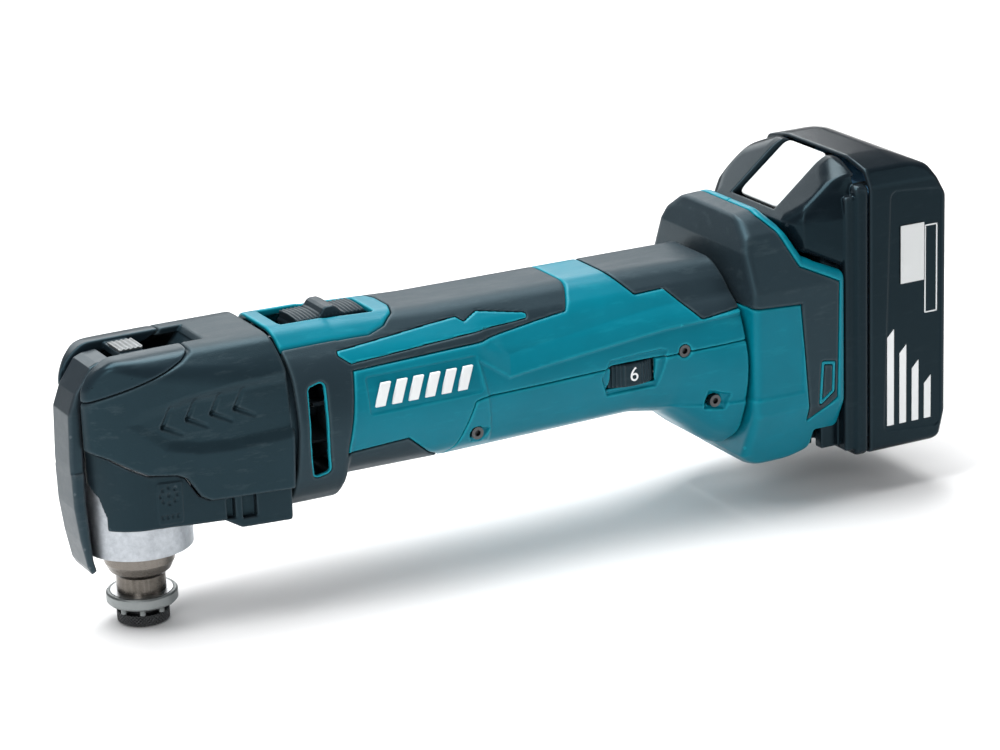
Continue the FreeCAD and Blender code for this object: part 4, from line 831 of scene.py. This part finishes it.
rear_skin = blend_max(np.maximum(rear_shell, -skin_depth), rear_skin_zone + GAP, soft=0.8)
badge = np.maximum(side(rear, BADGE, 0.8), 20.0 - np.abs(rear.y))
rear_teal = blend_max(rear_shell, -np.maximum(rear_skin_zone - GAP, -(skin_depth + 0.05)), soft=0.8)
badge = layer(badge, 0.0, 1.3)
rear_skin_open = blend_max(rear_skin, -(badge - GAP), soft=0.6)
dress(surface("rear_skin_shell", rear, rear_skin_open), RUBBER, "housing", "rear_housing_skin")
badge_field = blend_max(rear_skin + 0.15, badge, soft=0.6)
dress(surface("rear_badges", rear, badge_field), TEAL, "housing", "side_badges")
right_half = blend_max(rear_teal, rear.y + 0.12, soft=0.6)
dress(surface("rear_right_shell", rear, right_half), TEAL, "housing", "rear_housing_right")
left_half = blend_max(rear_teal, 0.12 - rear.y, soft=0.6)
dress(surface("rear_left_shell", rear, left_half), TEAL, "housing", "rear_housing_left")

# ------------------------------------------------------------------ battery
PACK_SECTION = [(-20.0, 124.2), (20.0, 124.2), (33.5, 120.6), (37.4, 114.2), (37.4, 9.6), (-20.0, 9.6)]
PACK_SIDE = [(276.0, 9.6), (314.4, 9.6), (317.4, 21.5), (317.4, 107.3), (311.0, 118.8), (298.0, 124.2),
             (276.0, 124.2)]
pack = Grid((281.6, -38.2, 8.6), (318.4, 38.2, 125.2), 0.5)
pack_section = section(pack, PACK_SECTION, 3.5)
pack_side = side(pack, PACK_SIDE, 5.0)
pack_outer = blend_max(pack_section, pack_side, soft=2.4)
graphic = side(pack, [(289.0, 18.0), (315.0, 16.0), (315.0, 110.0), (292.0, 112.0)], 3.0)
on_sides = smooth_step(np.abs(pack.y), 33.0, 36.0)
pack_outer = pack.full(pack_outer + 0.25 * smooth_step(-graphic, -0.3, 0.5) * on_sides)
pack_inner = blend_max(pack_section + 2.2, pack_side + 2.2, soft=2.0)
pack_inner = np.where(pack.x < 286.0, pack_section + 2.2, pack_inner)
lower_case = blend_max(np.maximum(pack_outer, -pack_inner), 283.04 - pack.x, soft=0.9)
dress(surface("battery_rear_case", pack, lower_case), PACK, "battery", "battery_lower_case")

front = Grid((250.4, -38.2, 10.0), (283.6, 38.2, 125.2), 0.5)
rim_section = section(front, PACK_SECTION, 3.5)
rim = blend_max(rim_section + 0.35, 276.9 - front.x, front.x - 282.9, front.z - 115.8, soft=2.2)
neck = blend_max(rim_section + 1.5, 272.95 - front.x, front.x - 279.0, 12.4 - front.z,
                 front.z - 112.0, soft=1.4)
rim = blend_min(rim, neck, soft=0.8)
bed = cuboid(front, (265.2, -30.8, 13.9), (278.4, 30.8, 92.0))
CROWN_SIDE = [(273.4, 84.9), (257.3, 92.3), (251.9, 103.6), (277.4, 124.1), (282.9, 124.1), (282.9, 82.0)]
CROWN_SECTION = [(-20.0, 124.4), (19.0, 124.4), (31.0, 119.0), (35.8, 104.0), (36.6, 80.0), (-20.0, 80.0)]
CROWN_PLAN = mirrored([(250.6, 24.0), (258.0, 30.8), (275.0, 36.6), (283.0, 37.2)])
crown = blend_max(side(front, CROWN_SIDE), section(front, CROWN_SECTION, 3.0),
                  plan(front, CROWN_PLAN, 2.0), soft=4.5)
front_case = blend_min(rim, bed, crown, soft=0.8)
hollow = np.maximum(rim_section + 3.0, 278.6 - front.x)
front_case = np.maximum(front_case, -hollow)
rail_way = cuboid(front, (255.0, -26.4, 0.0), (269.4, 26.4, 86.8), 0.4)
rail_core = cuboid(front, (264.2, -18.8, 13.9), (269.6, 18.8, 86.8), 0.4)
rail_lips = cuboid(front, (264.2, -23.4, 13.9), (265.8, 23.4, 86.8), 0.4)
blade_way = meet(front.x - 267.4, front.z - 75.0, np.abs(np.abs(front.y) - 13.0) - 1.4)
board_way = np.minimum(cuboid(front, (271.8, -28.0, 17.0), (279.0, 28.0, 88.0)),
                       cuboid(front, (274.0, -22.0, 80.0), (279.0, 22.0, 106.0)))
front_case = join(np.maximum(front_case, -rail_way), rail_core, rail_lips)
front_case = meet(front_case, -blade_way, -board_way)
POCKET = [(254.6, 107.0), (257.4, 102.6), (260.2, 101.8), (281.2, 118.6), (281.6, 135.0), (254.6, 135.0)]
pocket = np.maximum(side(front, POCKET), np.abs(front.y) - 14.6)
latch_slot = cuboid(front, (258.6, -6.2, 80.0), (264.6, 6.2, 112.0))
spring_way = np.maximum(np.hypot(front.x - 268.6, front.y) - 4.8, 100.0 - front.z)
front_case = carved(front_case, pocket, latch_slot, spring_way, soft=0.8)
dress(surface("battery_front_case", front, front_case), PACK, "battery", "battery_upper_case")

button = Grid((256.0, -15.2, 102.8), (281.4, 15.2, 124.8), 0.4)
BUTTON_SIDE = [(257.1, 105.7), (259.0, 104.0), (280.0, 121.0), (280.0, 123.7)]
up_slope = (button.x - 257.1) * 0.786 + (button.z - 105.7) * 0.618
label_plan = blend_max(np.abs(button.y) - 14.1, 0.2 - up_slope, up_slope - 28.7, soft=4.0)
button_field = blend_max(side(button, BUTTON_SIDE), label_plan, soft=0.9)
dress(surface("release_button_plate", button, button_field), WHITE, "release_button", "release_button")

# ------------------------------------------------------------------ slide switch and speed dial
knob = Grid((60.8, -9.2, 89.2), (89.4, 9.2, 98.4), 0.25)
knob_foot = cuboid(knob, (61.4, -8.5, 89.8), (88.8, 8.5, 92.2), 0.8)
crest = 94.7 + 0.28 * np.cos(2 * math.pi * (knob.x - 62.0) / 1.5)
crest = crest + 0.54 * (1.0 - (knob.y / 8.0) ** 2)
knob_pads = blend_max(knob.z - crest, cuboid(knob, (61.8, -7.6, 91.0), (88.4, 7.6, 99.0), 0.8), soft=0.5)
KNOB_HUMP = [(70.2, 92.0), (70.8, 95.0), (72.4, 97.2), (73.6, 97.8), (76.2, 97.8), (77.8, 97.0),
             (79.8, 95.0), (80.4, 92.0)]
knob_hump = blend_max(side(knob, KNOB_HUMP, 0.5), np.abs(knob.y) - 7.6, soft=1.2)
knob_cap = surface("slide_knob_cap", knob, blend_min(knob_foot, knob_pads, knob_hump, soft=0.6))
dress(knob_cap, BLACK, "slide_switch", "slide_knob")

DIAL_CENTRE = (184.5, -16.2)
dial = Grid((168.8, -31.9, 50.4), (200.2, -0.5, 64.2), 0.3)
dial_x, dial_y = dial.x - DIAL_CENTRE[0], dial.y - DIAL_CENTRE[1]
dial_reach = np.hypot(dial_x, dial_y)
dial_turn = np.degrees(np.arctan2(dial_y, dial_x))
DIGIT_TURNS = [-90.0 + 50.0 * number for number in range(6)]
flat = 0.0
for turn in DIGIT_TURNS:
    swing = np.abs((dial_turn - turn + 180.0) % 360.0 - 180.0)
    flat = np.maximum(flat, 1.0 - smooth_step(swing, 10.5, 12.0))
ribs = 0.4 * (0.5 + 0.5 * np.cos(np.radians(dial_turn) * 60.0)) * (1.0 - flat) + 0.3 * flat
dial_field = blend_max(dial_reach - 14.9 + ribs, 54.0 - dial.z, dial.z - 62.8, soft=1.0)
dial_hub = meet(dial_reach - 3.0, 50.9 - dial.z, dial.z - 55.0)
dial_wheel = surface("speed_dial_wheel", dial, np.minimum(dial_field, dial_hub))
dress(dial_wheel, BLACK, "speed_dial", "speed_dial")


def digit(text, turn, reach, height, centre_z):
    """A raised numeral on the dial's rim, read from outside."""
    curve = bpy.data.curves.new("digit", "FONT")
    curve.body = text
    curve.size = height
    curve.align_x = "CENTER"
    curve.align_y = "CENTER"
    curve.extrude = 0.06
    holder = bpy.data.objects.new("digit", curve)
    SCENE.collection.objects.link(holder)
    mesh = bpy.data.meshes.new_from_object(holder.evaluated_get(bpy.context.evaluated_depsgraph_get()))
    bpy.data.objects.remove(holder)
    mesh.transform(Matrix.Rotation(math.radians(90), 4, "X"))
    mesh.transform(Matrix.Translation((0.0, -reach, 0.0)))
    mesh.transform(Matrix.Rotation(math.radians(turn + 90.0), 4, "Z"))
    mesh.transform(Matrix.Translation((DIAL_CENTRE[0], DIAL_CENTRE[1], centre_z)))
    mesh.transform(Matrix.Scale(MM, 4))
    return dress(placed("dial_digit_" + text, mesh), MARK, "speed_dial", slot="white_label")


for number, turn in enumerate(DIGIT_TURNS):
    digit(str(6 - number), turn, 14.56, 7.6, 58.4)


# ------------------------------------------------------------------ spindle end
KNURL_COUNT = 44
bolt = Grid((-9.9, -9.9, -6.7), (9.9, 9.9, 0.1), 0.19)
bolt_reach = np.hypot(bolt.x, bolt.y)
bolt_turn = np.arctan2(bolt.y, bolt.x)
knurl_pitch = 2.0 * math.pi * 9.4 / KNURL_COUNT
twist = 2.0 * math.pi * bolt.z / knurl_pitch
knurls = np.maximum(np.cos(KNURL_COUNT * bolt_turn + twist), np.cos(KNURL_COUNT * bolt_turn - twist))
bolt_rim = bolt_reach - 9.38 + 0.22 * (1.0 - knurls)
bolt_rim = blend_max(bolt_rim, bolt_reach - 0.9 * bolt.z - 14.6, soft=0.5)
bolt_head = blend_max(bolt_rim, -6.15 - bolt.z, bolt.z + 2.0, soft=0.5)
HEX_RADIUS = 2.9
hex_corners = [(HEX_RADIUS * math.cos(math.radians(a)), HEX_RADIUS * math.sin(math.radians(a)))
               for a in range(0, 360, 60)]
hexagon = plan(bolt, hex_corners)
bolt_head = np.maximum(bolt_head, -np.maximum(hexagon, bolt.z + 3.0))
bolt_neck = meet(bolt_reach - 6.9, -2.6 - bolt.z, bolt.z + 0.35)
bolt_field = np.minimum(bolt_head, bolt_neck)
dress(surface("bolt_head", bolt, bolt_field), DARKSTEEL, "clamp_bolt", slot="black_steel")
SHANK = [(0.0, -0.36), (4.0, -0.36), (4.0, 76.6), (3.2, 77.2), (3.2, 78.6), (3.8, 79.0), (3.8, 80.0),
         (3.2, 80.6), (0.0, 80.6)]
bolt_shank = turned("bolt_shank", SHANK, segments=64)
dress(bolt_shank, DARKSTEEL, "clamp_bolt", "clamp_bolt")
for node in ("spindle", "tool_flange", "flange_ring", "gear_housing", "case_screws", "terminal_block",
             "battery_label", "contact_blades"):
    edge_bevel(NODES[node], 0.22, 32.0, 2)


# ------------------------------------------------------------------ plain printed marks and raised bars
def plate(name, points, face, depth, look, body, slot, axis_sign=-1.0):
    """A thin raised plate with an outline in X and Z on the side of the tool."""
    mesh = bpy.data.meshes.new(name)
    work = bmesh.new()
    outer = [work.verts.new((x, axis_sign * face, z)) for x, z in points]
    inner = [work.verts.new((x, axis_sign * (face - depth), z)) for x, z in points]
    work.faces.new(outer)
    work.faces.new(list(reversed(inner)))
    for number in range(len(points)):
        following = (number + 1) % len(points)
        work.faces.new((outer[following], outer[number], inner[number], inner[following]))
    bmesh.ops.recalc_face_normals(work, faces=work.faces)
    work.to_mesh(mesh)
    work.free()
    mesh.transform(Matrix.Scale(MM, 4))
    obj = placed(name, mesh)
    edge_bevel(obj, min(0.12, depth * 0.4), 30.0, 2)
    return dress(obj, look, body, slot=slot)


for number in range(6):
    start = 79.8 + number * 6.5
    bar = [(start, 65.9), (start + 3.7, 65.9), (start + 6.3, 74.4), (start + 2.6, 74.4)]
    for sign in (-1.0, 1.0):
        plate("name_bar", bar, 31.35, 1.2, MARK, "housing", "white_label", sign)
for number, height in enumerate((38.0, 31.0, 24.0, 17.0)):
    left = 290.6 + number * 5.6
    bar = [(left, 20.0), (left + 3.0, 20.0), (left + 3.0, 20.0 + height), (left, 20.0 + height - 3.0)]
    plate("charge_bar", bar, 37.4, 0.6, MARK, "battery", "white_label")
OUTLINE = [(307.4, 62.0), (312.6, 62.0), (312.6, 96.0), (307.4, 96.0)]
for (x0, z0), (x1, z1) in zip(OUTLINE, OUTLINE[1:] + OUTLINE[:1]):
    low_x, high_x, low_z, high_z = min(x0, x1), max(x0, x1), min(z0, z1), max(z0, z1)
    edge = [(low_x, low_z), (high_x + 0.5, low_z), (high_x + 0.5, high_z + 0.5), (low_x, high_z + 0.5)]
    plate("outline_bar", edge, 37.4, 0.6, MARK, "battery", "white_label")

# ------------------------------------------------------------------ camera, floor and light
VIEW = Vector((0.4394, 0.8416, -0.3140)).normalized()
UP = Vector((0.1453, 0.2783, 0.9494)).normalized()
CAMERA_AT = Vector((-0.4179, -1.0790, 0.4597))
ROLL = math.radians(-2.02)
LENS = 126.0

camera_data = bpy.data.cameras.new("camera")
camera_data.lens = LENS
camera_data.sensor_width = 36.0
camera = bpy.data.objects.new("camera", camera_data)
SCENE.collection.objects.link(camera)
right = VIEW.cross(UP).normalized()
true_up = right.cross(VIEW).normalized()
facing = Matrix((right, true_up, -VIEW)).transposed()
camera.matrix_world = Matrix.Translation(CAMERA_AT) @ facing.to_4x4() @ Matrix.Rotation(ROLL, 4, "Z")
SCENE.camera = camera

floor_nodes = Nodes("studio_floor")
FLOOR = floor_nodes.finish(
    floor_nodes.mixed(floor_nodes.noise(9.0), (0.86, 0.86, 0.86), (0.90, 0.90, 0.90)),
    floor_nodes.ramp(floor_nodes.noise(40.0), 0.3, 0.7, 0.75, 0.85))
floor_mesh = bpy.data.meshes.new("floor")
reach = 4.0
floor_z = cad_bounds[0].z - 0.0004
corners = ((-reach, -reach), (reach, -reach), (reach, reach), (-reach, reach))
floor_mesh.from_pydata([(x, y, floor_z) for x, y in corners], [], [(0, 1, 2, 3)])
floor = placed("floor", floor_mesh)
floor.data.materials.append(FLOOR)


def area_light(name, at, target, width, height, power):
    data = bpy.data.lights.new(name, "AREA")
    data.shape = "RECTANGLE"
    data.size = width
    data.size_y = height
    data.energy = power
    lamp = bpy.data.objects.new(name, data)
    SCENE.collection.objects.link(lamp)
    lamp.location = at
    lamp.rotation_euler = (Vector(target) - Vector(at)).to_track_quat("-Z", "Y").to_euler()


CENTRE = (0.13, 0.0, 0.06)
area_light("top_soft", (0.05, 0.15, 0.95), CENTRE, 1.3, 0.5, 19.0)
area_light("front_left", (-0.75, -0.85, 0.55), CENTRE, 0.45, 0.8, 5.2)
area_light("right_fill", (0.95, -0.8, 0.35), CENTRE, 0.4, 0.9, 1.8)
area_light("rear_rim", (0.3, 1.0, 0.6), CENTRE, 1.2, 0.4, 5.0)

world = bpy.data.worlds.new("studio")
SCENE.world = world
world.use_nodes = True
world.node_tree.nodes["Background"].inputs["Color"].default_value = (0.95, 0.97, 1.0, 1.0)
world.node_tree.nodes["Background"].inputs["Strength"].default_value = 0.27
SCENE.view_settings.view_transform = "Standard"
